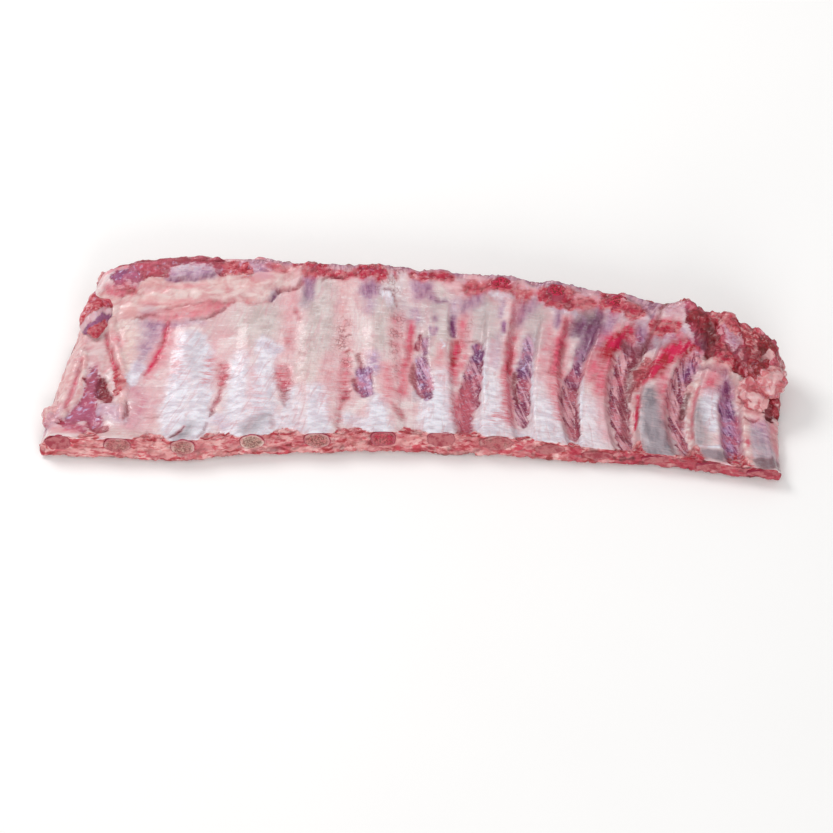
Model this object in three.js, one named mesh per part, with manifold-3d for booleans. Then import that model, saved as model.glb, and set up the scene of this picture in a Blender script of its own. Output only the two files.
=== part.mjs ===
// A raw rack of thirteen beef back ribs, lying bone side up on its outer, meaty side.
// Millimetres, +Z up. +X runs along the rack from the loin end to the neck end, +Y from the sawn
// rib ends to the chine side. The rack is one body of meat, fat and membrane, cut out round
// thirteen rib bones that run through it and show at the sawn edge and along the chine bevel.
import * as THREE from "three";
import { mergeVertices } from "three/addons/utils/BufferGeometryUtils.js";
import Module from "manifold-3d";

const wasm = await Module();
wasm.setup();

// Where each line across the rack meets the sawn edge, the middle and the chine rim:
// [near x, near y, middle x, far x, far y]. Lines 1 to 13 are the ribs, 0 and 14 the two ends.
const LINES = [
  [-371, -94, -349, -318, 84],
  [-356, -95, -328, -303, 92],
  [-297, -98, -286, -265, 104],
  [-232, -101, -223, -211, 107],
  [-163, -94, -159, -155, 103],
  [-97, -92, -99, -97, 101],
  [-32, -90, -32, -39, 98],
  [26, -92, 23, 23, 90],
  [83, -95, 80, 89, 83],
  [136, -100, 131, 145, 75],
  [183, -105, 179, 207, 61],
  [242, -111, 240, 275, 43],
  [297, -120, 293, 320, 24],
  [347, -129, 339, 351, 4],
  [362, -130, 359, 365, -12],
];
const LAST = LINES.length - 1;
const RIBS = LINES.length - 2;

// Height of the bone side over the table, from the sawn edge (0) to the chine rim (1).
const ACROSS = [0, 0.15, 0.4, 0.65, 0.8, 0.87, 0.93, 1];
const LOIN_HEIGHT = [28, 25, 22, 24, 31, 38, 45, 48];
const NECK_HEIGHT = [28, 24, 22, 23, 29, 38, 50, 54];
const LOIN_TO_NECK = [4, 7];

// Towards the neck the sawn edge gets thinner and stands upright.
const EDGE_THIN = { drop: 7, from: 7.5, to: 10.5, fade: 0.35 };
const SAWN_LEAN = [6, 6, 5, 2, 2, 0.5, 0];
const SAWN_LEAN_FROM = 8;

// Ribs stand out as ridges, with the meat between them sunk.
const SHOULDER = 7;
const GAP_DEPTH = { loin: 3, neck: 7, from: 5, to: 9 };
const RIDGE_ENDS = { nearFade: 0.05, farFrom: 0.8, farTo: 0.88 };

// A rib bone is a flat oval: broad at the sawn end, narrow at mid length, thick at its head.
const BONE = { broad: 13, broadNeck: 16, waist: 0.8, thick: 11, headThick: 15 };
const BONE_SIDES = 10;
const BONE_PROUD = 1;
const BONE_GAP = 0.35;

// How deep the bone's centre line lies at stations across the rack.
const BONE_STATIONS = [0.04, 0.14, 0.28, 0.42, 0.56, 0.7, 0.8, 0.88];
const BONE_DEPTHS = [7, 7, 7, 7, 7.5, 9, 12.5, 16.5];

// The ribs whose heads were cut through, so that their faces lie in the chine bevel.
const SHOWN_HEADS = [8, 9, 10];
const HEAD_FACE = { at: 0.95, tilt: 24 };

// The table side is flat in the middle and rises to both edges.
const UNDER = { near: 8, far: 9, flatFrom: 0.14, flatTo: 0.78 };
const CHINE_WALL = { bulge: 5, foot: -4 };

// Fat sheet over the loin end's chine side, and the lean left on the neck end.
const FAT_SHEET = { thick: 5, edge: [0.68, 0.69, 0.7, 0.76, 0.84, 0.97], step: 0.04 };
const NECK_LEAN = { rise: 11, from: 10.5, edge: [0.92, 0.86, 0.7, 0.66, 0.6], step: 0.08 };
const LUMP = { chine: 2.2, lean: 3.4 };

// Ring stations: sub-steps between two ribs, and points across the bone side.
const BETWEEN_RIBS = [0, 0.19, 0.31, 0.42, 0.58, 0.69, 0.81];
const END_STEPS = 3;
const TOP_POINTS = [
  0, 0.03, 0.09, 0.17, 0.26, 0.35, 0.44, 0.53, 0.61, 0.68, 0.73, 0.78, 0.82, 0.86, 0.895, 0.925,
  0.955, 0.98, 1,
];
const UNDER_POINTS = [0.97, 0.88, 0.78, 0.46, 0.14, 0.05];

const lerp = THREE.MathUtils.lerp;
const smoothstep = THREE.MathUtils.smoothstep;
const clamp = THREE.MathUtils.clamp;

function splineThrough(points) {
  return new THREE.CatmullRomCurve3(points, false, "catmullrom", 0.5);
}
const nearEdge = splineThrough(LINES.map((l) => new THREE.Vector3(l[0], l[1], 0)));
const middle = splineThrough(LINES.map((l) => new THREE.Vector3(l[2], 0, 0)));
const farEdge = splineThrough(LINES.map((l) => new THREE.Vector3(l[3], l[4], 0)));

// Plan position of the point at line u (0 to 14) and share v of the way across.
function plan(u, v) {
  const t = clamp(u / LAST, 0, 1);
  const near = nearEdge.getPoint(t);
  const mid = middle.getPoint(t);
  const far = farEdge.getPoint(t);
  const x =
    near.x * (1 - v) * (1 - 2 * v) + mid.x * 4 * v * (1 - v) + far.x * v * (2 * v - 1);
  return { x, y: lerp(near.y, far.y, v) };
}

// A smooth curve through a table of values at uneven stations.
function through(stations, values, t) {
  const last = stations.length - 1;
  let i = 0;
  while (i < last - 1 && t > stations[i + 1]) i += 1;
  const slope = (k) => {
    const a = Math.max(k - 1, 0);
    const b = Math.min(k + 1, last);
    return (values[b] - values[a]) / (stations[b] - stations[a]);
  };
  const span = stations[i + 1] - stations[i];
  const f = clamp((t - stations[i]) / span, 0, 1);
  const f2 = f * f;
  const f3 = f2 * f;
  return (
    (2 * f3 - 3 * f2 + 1) * values[i] +
    (f3 - 2 * f2 + f) * span * slope(i) +
    (3 * f2 - 2 * f3) * values[i + 1] +
    (f3 - f2) * span * slope(i + 1)
  );
}

// A table of values at evenly spaced lines, starting at line `first`, with `step` lines between.
function alongLines(values, first, step, u) {
  const stations = values.map((_, i) => first + i * step);
  return through(stations, values, clamp(u, stations[0], stations[stations.length - 1]));
}

// Irregular lumps about 15 to 40 mm across, from -1 to 1.
function lumps(x, y) {
  return (
    0.5 * Math.sin(x / 7.1 + 1.3 * Math.sin(y / 11.3)) * Math.cos(y / 6.3 + x / 19.7) +
    0.5 * Math.sin(x / 15.3 - y / 9.1 + 1.7) * Math.cos(x / 31.7 + y / 13.9)
  );
}

function boneHalfWidth(rib, v) {
  const broad = lerp(BONE.broad, BONE.broadNeck, smoothstep(rib, 6.5, 8));
  return through([0, 0.3, 0.75, 1], [broad, broad * BONE.waist, broad * 0.68, broad * 0.8], v);
}

// 1 on a rib, 0 in the gap beside it.
function ribShare(u, v) {
  const rib = clamp(Math.round(u), 1, RIBS);
  const off = Math.abs(plan(u, v).x - plan(rib, v).x);
  const half = boneHalfWidth(rib, v) - 2;
  return 1 - smoothstep(off, half, half + SHOULDER);
}

function fatSheet(u, v) {
  const edge = alongLines(FAT_SHEET.edge, 0, 1, u);
  const fade = 1 - smoothstep(u, 4.8, 5.3);
  return FAT_SHEET.thick * smoothstep(v, edge, edge + FAT_SHEET.step) * fade;
}

function neckLean(u, v) {
  const edge = alongLines(NECK_LEAN.edge, NECK_LEAN.from, 0.8, u);
  const start = smoothstep(u, NECK_LEAN.from, NECK_LEAN.from + 0.6);
  return start * smoothstep(v, edge, edge + NECK_LEAN.step);
}

// Height of the bone side.
function topHeight(u, v) {
  const { x, y } = plan(u, v);
  const toNeck = smoothstep(u, ...LOIN_TO_NECK);
  const base = lerp(through(ACROSS, LOIN_HEIGHT, v), through(ACROSS, NECK_HEIGHT, v), toNeck);
  const depth = lerp(GAP_DEPTH.loin, GAP_DEPTH.neck, smoothstep(u, GAP_DEPTH.from, GAP_DEPTH.to));
  const ridgeFade =
    lerp(0.35, 1, smoothstep(v, 0, RIDGE_ENDS.nearFade)) *
    (1 - 0.6 * smoothstep(v, RIDGE_ENDS.farFrom, RIDGE_ENDS.farTo));
  const sunk = (1 - ribShare(u, v)) * depth * ridgeFade;
  const chine = LUMP.chine * lumps(x, y) * smoothstep(v, 0.86, 0.93);
  const lean = neckLean(u, v);
  const leanLumps = lean * (NECK_LEAN.rise + LUMP.lean * lumps(x * 1.3, y * 1.3));
  const atEdge = 1 - smoothstep(v, 0, EDGE_THIN.fade);
  const thin = EDGE_THIN.drop * smoothstep(u, EDGE_THIN.from, EDGE_THIN.to) * atEdge;
  return (base - thin - sunk + chine + fatSheet(u, v) + leanLumps) * endRound(u);
}

// How far the foot of the sawn edge stands out past its lip.
function sawnLean(u) {
  return alongLines(SAWN_LEAN, SAWN_LEAN_FROM, 1, u);
}

// The loin end thins out to a rounded border; the neck end is cut square.
function endRound(u) {
  const round = (share) => Math.sqrt(1 - (1 - clamp(share, 0, 1)) ** 2);
  return lerp(0.5, 1, round(u / 0.9)) * lerp(0.8, 1, round((LAST - u) / 0.35));
}

function underHeight(u, v) {
  const near = UNDER.near * (1 - smoothstep(v, 0, UNDER.flatFrom)) ** 1.5;
  const far = UNDER.far * smoothstep(v, UNDER.flatTo, 1) ** 1.5;
  return near + far;
}

// One closed outline across the rack: up the sawn edge, over the bone side, down the chine wall
// and back along the table side.
function section(u) {
  const ring = [];
  const add = (v, dy, z) => {
    const p = plan(u, v);
    ring.push(new THREE.Vector3(p.x, p.y + dy, z));
  };
  const lip = topHeight(u, 0);
  const rim = topHeight(u, 1);
  const foot = underHeight(u, 1);
  add(0, -sawnLean(u), underHeight(u, 0));
  add(0, -sawnLean(u) * 0.6, lerp(underHeight(u, 0), lip, 0.5));
  TOP_POINTS.forEach((v) => add(v, 0, topHeight(u, v)));
  const wall = CHINE_WALL.bulge * (1 + 0.4 * lumps(plan(u, 1).x * 1.7, 40));
  add(1, wall, lerp(rim, foot, 0.3));
  add(1, wall * 0.8, lerp(rim, foot, 0.7));
  add(1, CHINE_WALL.foot, foot);
  UNDER_POINTS.forEach((v) => add(v, 0, underHeight(u, v)));
  return ring;
}

// Closed solid through a row of rings with equal point counts, its two ends capped flat.
// outlineOf gives the 2D outline that a ring's cap is triangulated in.
function loft(rings, outlineOf) {
  const count = rings[0].length;
  const positions = rings.flat().flatMap((p) => [p.x, p.y, p.z]);
  const index = [];
  for (let i = 0; i < rings.length - 1; i += 1) {
    for (let j = 0; j < count; j += 1) {
      const a = i * count + j;
      const b = i * count + ((j + 1) % count);
      index.push(a, b, a + count, b, b + count, a + count);
    }
  }
  const cap = (ring, base, first) => {
    const outline = outlineOf(ring);
    const flip = THREE.ShapeUtils.area(outline) > 0 === first;
    THREE.ShapeUtils.triangulateShape(outline, []).forEach(([a, b, c]) => {
      index.push(...(flip ? [base + a, base + c, base + b] : [base + a, base + b, base + c]));
    });
  };
  cap(rings[0], 0, true);
  cap(rings[rings.length - 1], (rings.length - 1) * count, false);
  const geometry = new THREE.BufferGeometry();
  geometry.setAttribute("position", new THREE.Float32BufferAttribute(positions, 3));
  geometry.setIndex(index);
  return geometry;
}

function solidOf(geometry) {
  const bare = geometry.clone();
  bare.deleteAttribute("normal");
  bare.deleteAttribute("uv");
  const merged = mergeVertices(bare, 1e-3);
  const solid = new wasm.Manifold(
    new wasm.Mesh({
      numProp: 3,
      vertProperties: new Float32Array(merged.attributes.position.array),
      triVerts: new Uint32Array(merged.index.array),
    }),
  );
  if (solid.volume() > 0) return solid;
  merged.index.array.reverse();
  return new wasm.Manifold(
    new wasm.Mesh({
      numProp: 3,
      vertProperties: new Float32Array(merged.attributes.position.array),
      triVerts: new Uint32Array(merged.index.array),
    }),
  );
}

function geometryOf(solid) {
  const { vertProperties, triVerts } = solid.getMesh();
  const geometry = new THREE.BufferGeometry();
  geometry.setAttribute("position", new THREE.BufferAttribute(vertProperties, 3));
  geometry.setIndex(new THREE.BufferAttribute(triVerts, 1));
  geometry.computeVertexNormals();
  return geometry;
}

// The main body of a cut solid, without the crumbs that thin edges leave behind.
function mainBody(solid) {
  return solid.decompose().sort((a, b) => b.volume() - a.volume())[0];
}

function ringStations() {
  const stations = [];
  for (let i = 0; i < END_STEPS; i += 1) stations.push(i / END_STEPS);
  for (let rib = 1; rib < RIBS; rib += 1) {
    BETWEEN_RIBS.forEach((share) => stations.push(rib + share));
  }
  for (let i = 0; i <= END_STEPS; i += 1) stations.push(RIBS + i / END_STEPS);
  return stations;
}

// An uneven rounded lump, to be fused to the meat.
function lump(centre, radii, turn) {
  const geometry = new THREE.SphereGeometry(1, 14, 10);
  const position = geometry.getAttribute("position");
  for (let i = 0; i < position.count; i += 1) {
    const p = new THREE.Vector3().fromBufferAttribute(position, i);
    const swell = 1 + 0.12 * Math.sin(5 * p.x + 2 * p.z + centre[0]) * Math.cos(4 * p.y - 3 * p.z);
    p.multiplyScalar(swell);
    position.setXYZ(i, p.x * radii[0], p.y * radii[1], p.z * radii[2]);
  }
  geometry.rotateZ(THREE.MathUtils.degToRad(turn));
  geometry.translate(...centre);
  return solidOf(geometry);
}

// What the butcher left standing on the two ends: [centre, radii, turn about Z in degrees].
const TRIMMINGS = [
  [[-318, 54, 30], [15, 28, 15], -16],
  [[-360, -64, 15], [13, 17, 10], -14],
  [[-311, 86, 34], [8, 14, 13], -10],
  [[-288, 86, 40], [17, 13, 12], 10],
  [[-232, 99, 43], [64, 12, 12], 1],
  [[-150, 100, 44], [26, 9, 10], -4],
  [[271, 46, 54], [8, 9, 9], 20],
  [[350, -26, 34], [21, 24, 19], 8],
  [[338, -44, 28], [15, 20, 14], 25],
];

// Centre line of a rib bone, each station with the direction that its section faces: from just
// proud of the sawn edge, under the membrane, and out at the chine bevel where the head shows.
function boneLine(rib) {
  const near = plan(rib, 0);
  const lip = topHeight(rib, 0);
  const lean = (sawnLean(rib) * BONE_DEPTHS[0]) / (lip - underHeight(rib, 0));
  const start = new THREE.Vector3(near.x, near.y - lean - BONE_PROUD, lip - BONE_DEPTHS[0]);
  const line = [{ v: 0, at: start }];
  BONE_STATIONS.forEach((v, i) => {
    const p = plan(rib, v);
    line.push({ v, at: new THREE.Vector3(p.x, p.y, topHeight(rib, v) - BONE_DEPTHS[i]) });
  });
  const shown = SHOWN_HEADS.includes(rib);
  if (shown) {
    const v = HEAD_FACE.at;
    const head = plan(rib, v);
    line.push({ v, at: new THREE.Vector3(head.x, head.y, topHeight(rib, v) + BONE_PROUD) });
  }
  line.forEach((station, i) => {
    const before = line[Math.max(i - 1, 0)].at;
    const after = line[Math.min(i + 1, line.length - 1)].at;
    station.faces = new THREE.Vector3().subVectors(after, before).setX(0).normalize();
  });
  if (shown) {
    const tilt = THREE.MathUtils.degToRad(HEAD_FACE.tilt);
    line[line.length - 1].faces.set(0, -Math.sin(tilt), Math.cos(tilt));
  }
  return line;
}

// A unit circle with the points of a bone's section.
const OVAL = Array.from({ length: BONE_SIDES }, (_, k) => {
  const angle = (k / BONE_SIDES) * 2 * Math.PI;
  return new THREE.Vector2(Math.cos(angle), Math.sin(angle));
});

// Flat oval rings along the centre line, grown by `grow` and carried on past both ends by
// `past` and `pastHead`.
function boneSolid(rib, grow, past, pastHead) {
  const rings = boneLine(rib).map(({ v, at, faces }) => {
    const halfWidth = boneHalfWidth(rib, v) - 2 + grow;
    const halfThick = lerp(BONE.thick, BONE.headThick, smoothstep(v, 0.7, 0.95)) / 2 + grow;
    const points = OVAL.map(({ x, y }) => {
      const rise = halfThick * y;
      return new THREE.Vector3(halfWidth * x, -faces.z * rise, faces.y * rise).add(at);
    });
    return { points, faces };
  });
  const moved = ({ points, faces }, by) => points.map((p) => p.clone().addScaledVector(faces, by));
  const outlines = rings.map((r) => r.points);
  if (past > 0) outlines.unshift(moved(rings[0], -past));
  if (pastHead > 0) outlines.push(moved(rings[rings.length - 1], pastHead));
  return solidOf(loft(outlines, () => OVAL));
}

// The space that a bone takes in the meat: open at the sawn edge, and at the bevel where its
// head shows.
function boneChannel(rib) {
  return boneSolid(rib, BONE_GAP, 6, SHOWN_HEADS.includes(rib) ? 14 : BONE_GAP);
}

function material(color, roughness) {
  return new THREE.MeshStandardMaterial({ color, roughness, metalness: 0 });
}
const meatFinish = material("#cf9aa2", 0.42);
const boneFinish = material("#cfc0b6", 0.5);

function namedMesh(name, solid, finish) {
  const mesh = new THREE.Mesh(geometryOf(solid), finish);
  mesh.name = name;
  return mesh;
}

const sideView = (ring) => ring.map((p) => new THREE.Vector2(p.y, p.z));

function meatSolid() {
  let meat = solidOf(loft(ringStations().map(section), sideView));
  TRIMMINGS.forEach(([centre, radii, turn]) => {
    meat = meat.add(lump(centre, radii, turn));
  });
  for (let rib = 1; rib <= RIBS; rib += 1) meat = meat.subtract(boneChannel(rib));
  return mainBody(meat);
}

const rack = new THREE.Group();
rack.add(namedMesh("rack_meat", meatSolid(), meatFinish));
for (let rib = 1; rib <= RIBS; rib += 1) {
  const name = "rib_bone_" + String(rib).padStart(2, "0");
  rack.add(namedMesh(name, boneSolid(rib, 0, 0, 0), boneFinish));
}

// The origin lies on the table, under the middle of the rack.
const bounds = new THREE.Box3().setFromObject(rack);
const middlePoint = bounds.getCenter(new THREE.Vector3());
rack.children.forEach((mesh) => {
  mesh.geometry.translate(-middlePoint.x, -middlePoint.y, -bounds.min.z);
});

export default rack;
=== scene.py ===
# A raw rack of thirteen beef back ribs, lying bone side up on its outer, meaty side.
import math

import bpy
import numpy as np
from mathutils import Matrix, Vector


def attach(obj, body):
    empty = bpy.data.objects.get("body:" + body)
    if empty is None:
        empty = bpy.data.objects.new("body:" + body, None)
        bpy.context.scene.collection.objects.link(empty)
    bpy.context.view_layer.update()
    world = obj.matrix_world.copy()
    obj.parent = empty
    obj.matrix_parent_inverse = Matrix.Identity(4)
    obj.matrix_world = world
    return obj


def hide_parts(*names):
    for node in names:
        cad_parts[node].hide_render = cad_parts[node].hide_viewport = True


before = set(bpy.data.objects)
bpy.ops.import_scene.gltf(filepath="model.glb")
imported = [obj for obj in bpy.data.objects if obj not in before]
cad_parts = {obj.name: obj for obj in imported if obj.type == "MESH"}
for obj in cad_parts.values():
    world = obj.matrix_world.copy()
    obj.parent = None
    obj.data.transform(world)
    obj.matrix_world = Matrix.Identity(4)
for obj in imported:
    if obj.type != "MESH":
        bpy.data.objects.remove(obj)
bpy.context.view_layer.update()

MM = 0.001

# The rack is described by lines across it. Each has the place where it meets the sawn edge, the
# middle and the chine rim, in millimetres: near x, near y, middle x, far x, far y.
# Lines 1 to 13 are the ribs, 0 and 14 the loin end and the neck end.
LINES = np.array([
    [-371, -94, -349, -318, 84],
    [-356, -95, -328, -303, 92],
    [-297, -98, -286, -265, 104],
    [-232, -101, -223, -211, 107],
    [-163, -94, -159, -155, 103],
    [-97, -92, -99, -97, 101],
    [-32, -90, -32, -39, 98],
    [26, -92, 23, 23, 90],
    [83, -95, 80, 89, 83],
    [136, -100, 131, 145, 75],
    [183, -105, 179, 207, 61],
    [242, -111, 240, 275, 43],
    [297, -120, 293, 320, 24],
    [347, -129, 339, 351, 4],
    [362, -130, 359, 365, -12],
], float)
LINE_NUMBERS = np.arange(len(LINES), dtype=float)
LAST = float(len(LINES) - 1)
RIBS = len(LINES) - 2

# The middle of the rack in the lines' coordinates. The frame's origin lies under it.
MIDDLE = np.array([-0.99, -9.04, 0.0])

# Height of the bone side over the floor in mm, at shares across from the sawn edge to the chine rim.
ACROSS = [0, 0.15, 0.4, 0.65, 0.8, 0.87, 0.93, 1]
LOIN_HEIGHT = [28, 25, 22, 24, 31, 38, 45, 48]
NECK_HEIGHT = [28, 24, 22, 23, 29, 38, 50, 54]
# How many mm a rib's ridge takes to fall off beside the bone, at the neck and at the loin.
SHOULDER = 7.0
SHOULDER_LOIN = 16.0

# Rib bones, in mm: half widths at the loin and the neck with the tissue on them, how thick that
# tissue is, thickness along the rib and at the head, how far a sawn end stands out, how many times
# broader and thicker it is than the rib, and how deep a rib's middle lies at shares across. Three
# heads were sawn through and show in the chine bevel, at a share across and tilted by degrees.
BONE_BROAD = 13.0
BONE_BROAD_NECK = 16.0
BONE_COVER = 2.0
BONE_THICK = 11.0
BONE_HEAD_THICK = 13.0
BONE_PROUD = 1.0
END_BROADER = 1.18
END_THICKER = 1.7
END_THICKER_NECK = 0.85
BONE_STATIONS = [0.04, 0.14, 0.28, 0.42, 0.56, 0.7, 0.8, 0.88]
BONE_DEPTHS = [8.4, 7.6, 7, 7, 7.5, 9, 12.5, 16.5]
SHOWN_HEADS = (8, 9, 10)
HEAD_AT = 0.95
HEAD_TILT = 24

# How finely the body's skin is divided: mm between its rings, samples of the middle line that they
# are picked from, and points up or across each face of a section.
ALONG_STEP = 1.45
MIDDLE_SAMPLES = 4000
TOP_POINTS = 140
SAWN_POINTS = 14
WALL_POINTS = 20
UNDER_POINTS = 18

# The two ends are rounded off by rings: how many, how far out and in they go in mm, and the last
# ring's turn, just short of a quarter, so that it doesn't close to a line.
END_RINGS = 6
END_BULGE = 3.0
CAP_INSET = 4.0
END_TURN = 0.47 * math.pi

# Breadth of the bone side in mm that the patterns take for the whole way across.
PATTERN_BREADTH = 190.0

# A distance in mm that no mark reaches, and a number that keeps a division from failing.
FAR_OFF = 1e3
TINY = 1e-9


def smoothstep(x, low, high):
    """0 below low, 1 above high, and eased between them."""
    t = np.clip((x - low) / (high - low), 0.0, 1.0)
    return t * t * (3 - 2 * t)


def lerp(a, b, t):
    """The value at share t of the way from a to b."""
    return a + (b - a) * t


def through(stations, values, t):
    """A smooth curve through values at uneven stations."""
    stations = np.asarray(stations, float)
    values = np.asarray(values, float)
    t = np.clip(t, stations[0], stations[-1])
    i = np.clip(np.searchsorted(stations, t, side="left") - 1, 0, len(stations) - 2)
    before = np.maximum(np.arange(len(stations)) - 1, 0)
    after = np.minimum(np.arange(len(stations)) + 1, len(stations) - 1)
    slopes = (values[after] - values[before]) / (stations[after] - stations[before])
    span = stations[i + 1] - stations[i]
    f = (t - stations[i]) / span
    f2 = f * f
    f3 = f2 * f
    start = (2 * f3 - 3 * f2 + 1) * values[i] + (f3 - 2 * f2 + f) * span * slopes[i]
    end = (3 * f2 - 2 * f3) * values[i + 1] + (f3 - f2) * span * slopes[i + 1]
    return start + end


def along_lines(values, first, step, u):
    """A smooth curve through values at evenly spaced lines."""
    return through(first + step * np.arange(len(values)), values, u)


def lattice(ix, iy, iz, seed):
    """The same random number from 0 to 1 each time for a point of a whole-number lattice."""
    h = (ix * 374761393 + iy * 668265263 + iz * 1442695041 + seed * 1274126177) & 0xFFFFFFFF
    h = ((h ^ (h >> 13)) * 1274126177) & 0xFFFFFFFF
    return ((h ^ (h >> 16)) & 0xFFFFFF) / 0xFFFFFF


def noise(x, y, z, seed=0):
    """Smooth noise from -1 to 1, with cells one unit across."""
    x, y, z = np.broadcast_arrays(x, y, z)
    cell = [np.floor(a).astype(np.int64) for a in (x, y, z)]
    share = [a - c for a, c in zip((x, y, z), cell)]
    share = [s * s * (3 - 2 * s) for s in share]
    total = np.zeros(x.shape)
    for dx in (0, 1):
        for dy in (0, 1):
            for dz in (0, 1):
                weight = 1.0
                for step, s in zip((dx, dy, dz), share):
                    weight = weight * (s if step else 1 - s)
                total += weight * lattice(cell[0] + dx, cell[1] + dy, cell[2] + dz, seed)
    return 2 * total - 1


def layered(x, y, z, octaves=3, seed=0):
    """Noise with finer and weaker noise on top, about -1 to 1."""
    total, size, most = 0.0, 1.0, 0.0
    for k in range(octaves):
        total = total + size * noise(x * 2 ** k, y * 2 ** k, z * 2 ** k, seed + 17 * k)
        most += size
        size *= 0.5
    return total / most


def cells(x, y, z, seed=0):
    """Irregular cells about one unit across: 0 on their borders up to 1 inside, and each one's tone."""
    x, y, z = np.broadcast_arrays(x, y, z)
    base = [np.floor(a).astype(np.int64) for a in (x, y, z)]
    first = np.full(x.shape, 9.0)
    second = np.full(x.shape, 9.0)
    tone = np.zeros(x.shape)
    for dx in (-1, 0, 1):
        for dy in (-1, 0, 1):
            for dz in (-1, 0, 1):
                c = [base[0] + dx, base[1] + dy, base[2] + dz]
                away = 0.0
                for k, a in enumerate((x, y, z)):
                    away = away + (a - c[k] - lattice(*c, seed + 101 * k)) ** 2
                away = np.sqrt(away)
                second = np.where(away < first, first, np.minimum(second, away))
                tone = np.where(away < first, lattice(*c, seed + 911), tone)
                first = np.minimum(first, away)
    return np.clip((second - first) * 1.4, 0, 1), tone


def plan(u, v):
    """Plan place, in mm, of the point at line u and share v of the way across."""
    near_x, near_y, mid_x, far_x, far_y = (through(LINE_NUMBERS, c, u) for c in LINES.T)
    x = near_x * (1 - v) * (1 - 2 * v) + mid_x * 4 * v * (1 - v) + far_x * v * (2 * v - 1)
    return x, lerp(near_y, far_y, v)


def lumps(x, y):
    """Irregular lumps about 15 to 40 mm across, from -1 to 1."""
    small = np.sin(x / 7.1 + 1.3 * np.sin(y / 11.3)) * np.cos(y / 6.3 + x / 19.7)
    large = np.sin(x / 15.3 - y / 9.1 + 1.7) * np.cos(x / 31.7 + y / 13.9)
    return 0.5 * small + 0.5 * large


def bone_half_width(rib, v):
    """Half width of a rib's bone in mm at share v: broad at the sawn end, narrow under the chine."""
    broad = lerp(BONE_BROAD, BONE_BROAD_NECK, smoothstep(rib, 6.5, 8))
    return broad * through([0, 0.3, 0.75, 1], [1, 0.8, 0.68, 0.8], v) - BONE_COVER


def end_thicker(rib):
    """How many times as thick as the rib its sawn end shows."""
    return lerp(END_THICKER, END_THICKER_NECK, smoothstep(rib, 7, 10))


def rib_share(u, v):
    """1 on a rib, 0 in the gap beside it."""
    rib = np.clip(np.round(u), 1, RIBS)
    off = np.abs(plan(u, v)[0] - plan(rib, v)[0])
    half = bone_half_width(rib, v)
    return 1 - smoothstep(off, half, half + lerp(SHOULDER_LOIN, SHOULDER, smoothstep(u, 5, 8)))


def neck_lean(u, v):
    """1 where thick lean lies on the rim of the neck end, 0 away from it."""
    edge = along_lines([0.92, 0.86, 0.7, 0.66, 0.6], 10.5, 0.8, u)
    return smoothstep(u, 10.5, 11.1) * smoothstep(v, edge, edge + 0.08)


def end_round(u):
    """The loin end thins out to a rounded border; the neck end is cut square."""
    def rounded(share):
        return np.sqrt(1 - (1 - np.clip(share, 0, 1)) ** 2)
    return lerp(0.5, 1, rounded(u / 0.9)) * lerp(0.8, 1, rounded((LAST - u) / 0.35))


def top_height(u, v):
    """Height of the bone side in mm: the ribs and the gaps sunk between them, and what lies on top."""
    x, y = plan(u, v)
    to_neck = smoothstep(u, 4, 7)
    base = lerp(through(ACROSS, LOIN_HEIGHT, v), through(ACROSS, NECK_HEIGHT, v), to_neck)
    depth = lerp(2.4, 7, smoothstep(u, 5, 9))
    fade = lerp(0.35, 1, smoothstep(v, 0, 0.05)) * (1 - 0.6 * smoothstep(v, 0.8, 0.88))
    sunk = (1 - rib_share(u, v)) * depth * fade
    chine = 2.2 * lumps(x, y) * smoothstep(v, 0.86, 0.93)
    lean = neck_lean(u, v) * (11 + 3.4 * lumps(x * 1.3, y * 1.3))
    edge = along_lines([0.68, 0.69, 0.7, 0.76, 0.84, 0.97], 0, 1, u)
    sheet = 5 * smoothstep(v, edge, edge + 0.04) * (1 - smoothstep(u, 4.8, 5.3))
    thin = 7 * smoothstep(u, 7.5, 10.5) * (1 - smoothstep(v, 0, 0.35))
    swollen = 1.6 * rib_share(u, v) * (1 - smoothstep(v, 0, 0.07)) * (1 - smoothstep(u, 7, 10))
    return (base - thin - sunk + chine + sheet + lean + swollen) * end_round(u)


def sawn_lean(u):
    """How far the foot of the sawn face stands out in front of its lip, in mm."""
    return along_lines([6, 6, 5, 2, 2, 0.5, 0], 8, 1, u)


def under_height(v):
    """Height of the underside in mm: it lies flat, and lifts at the sawn edge and under the rim."""
    near = 4 * (1 - smoothstep(v, 0, 0.14)) ** 1.5
    return near + 9 * smoothstep(v, 0.78, 1) ** 1.5


# What shows on the bone side. Each mark runs along (line, share across) points, with its half
# width in mm (one, or one a point), the width over which it fades, how far it lifts or sinks the
# surface in mm, and what it paints and how strongly. A negative strength wipes a pigment away.
# The darkest pigment paints shade, the brown one is partly painted shade, and flecks paint glints.
PIGMENTS = ("cream", "grey", "white", "blue", "pink", "lilac", "purple", "blood", "muscle", "fat",
            "lean", "cut", "mauve", "brown", "deep", "streak", "crackle", "glisten", "tone")
MARKS = []


def mark(path, half, fade, lift=0, **paints):
    """Adds one mark of the bone side."""
    MARKS.append((np.array(path, float), half, fade, lift, paints))


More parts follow.
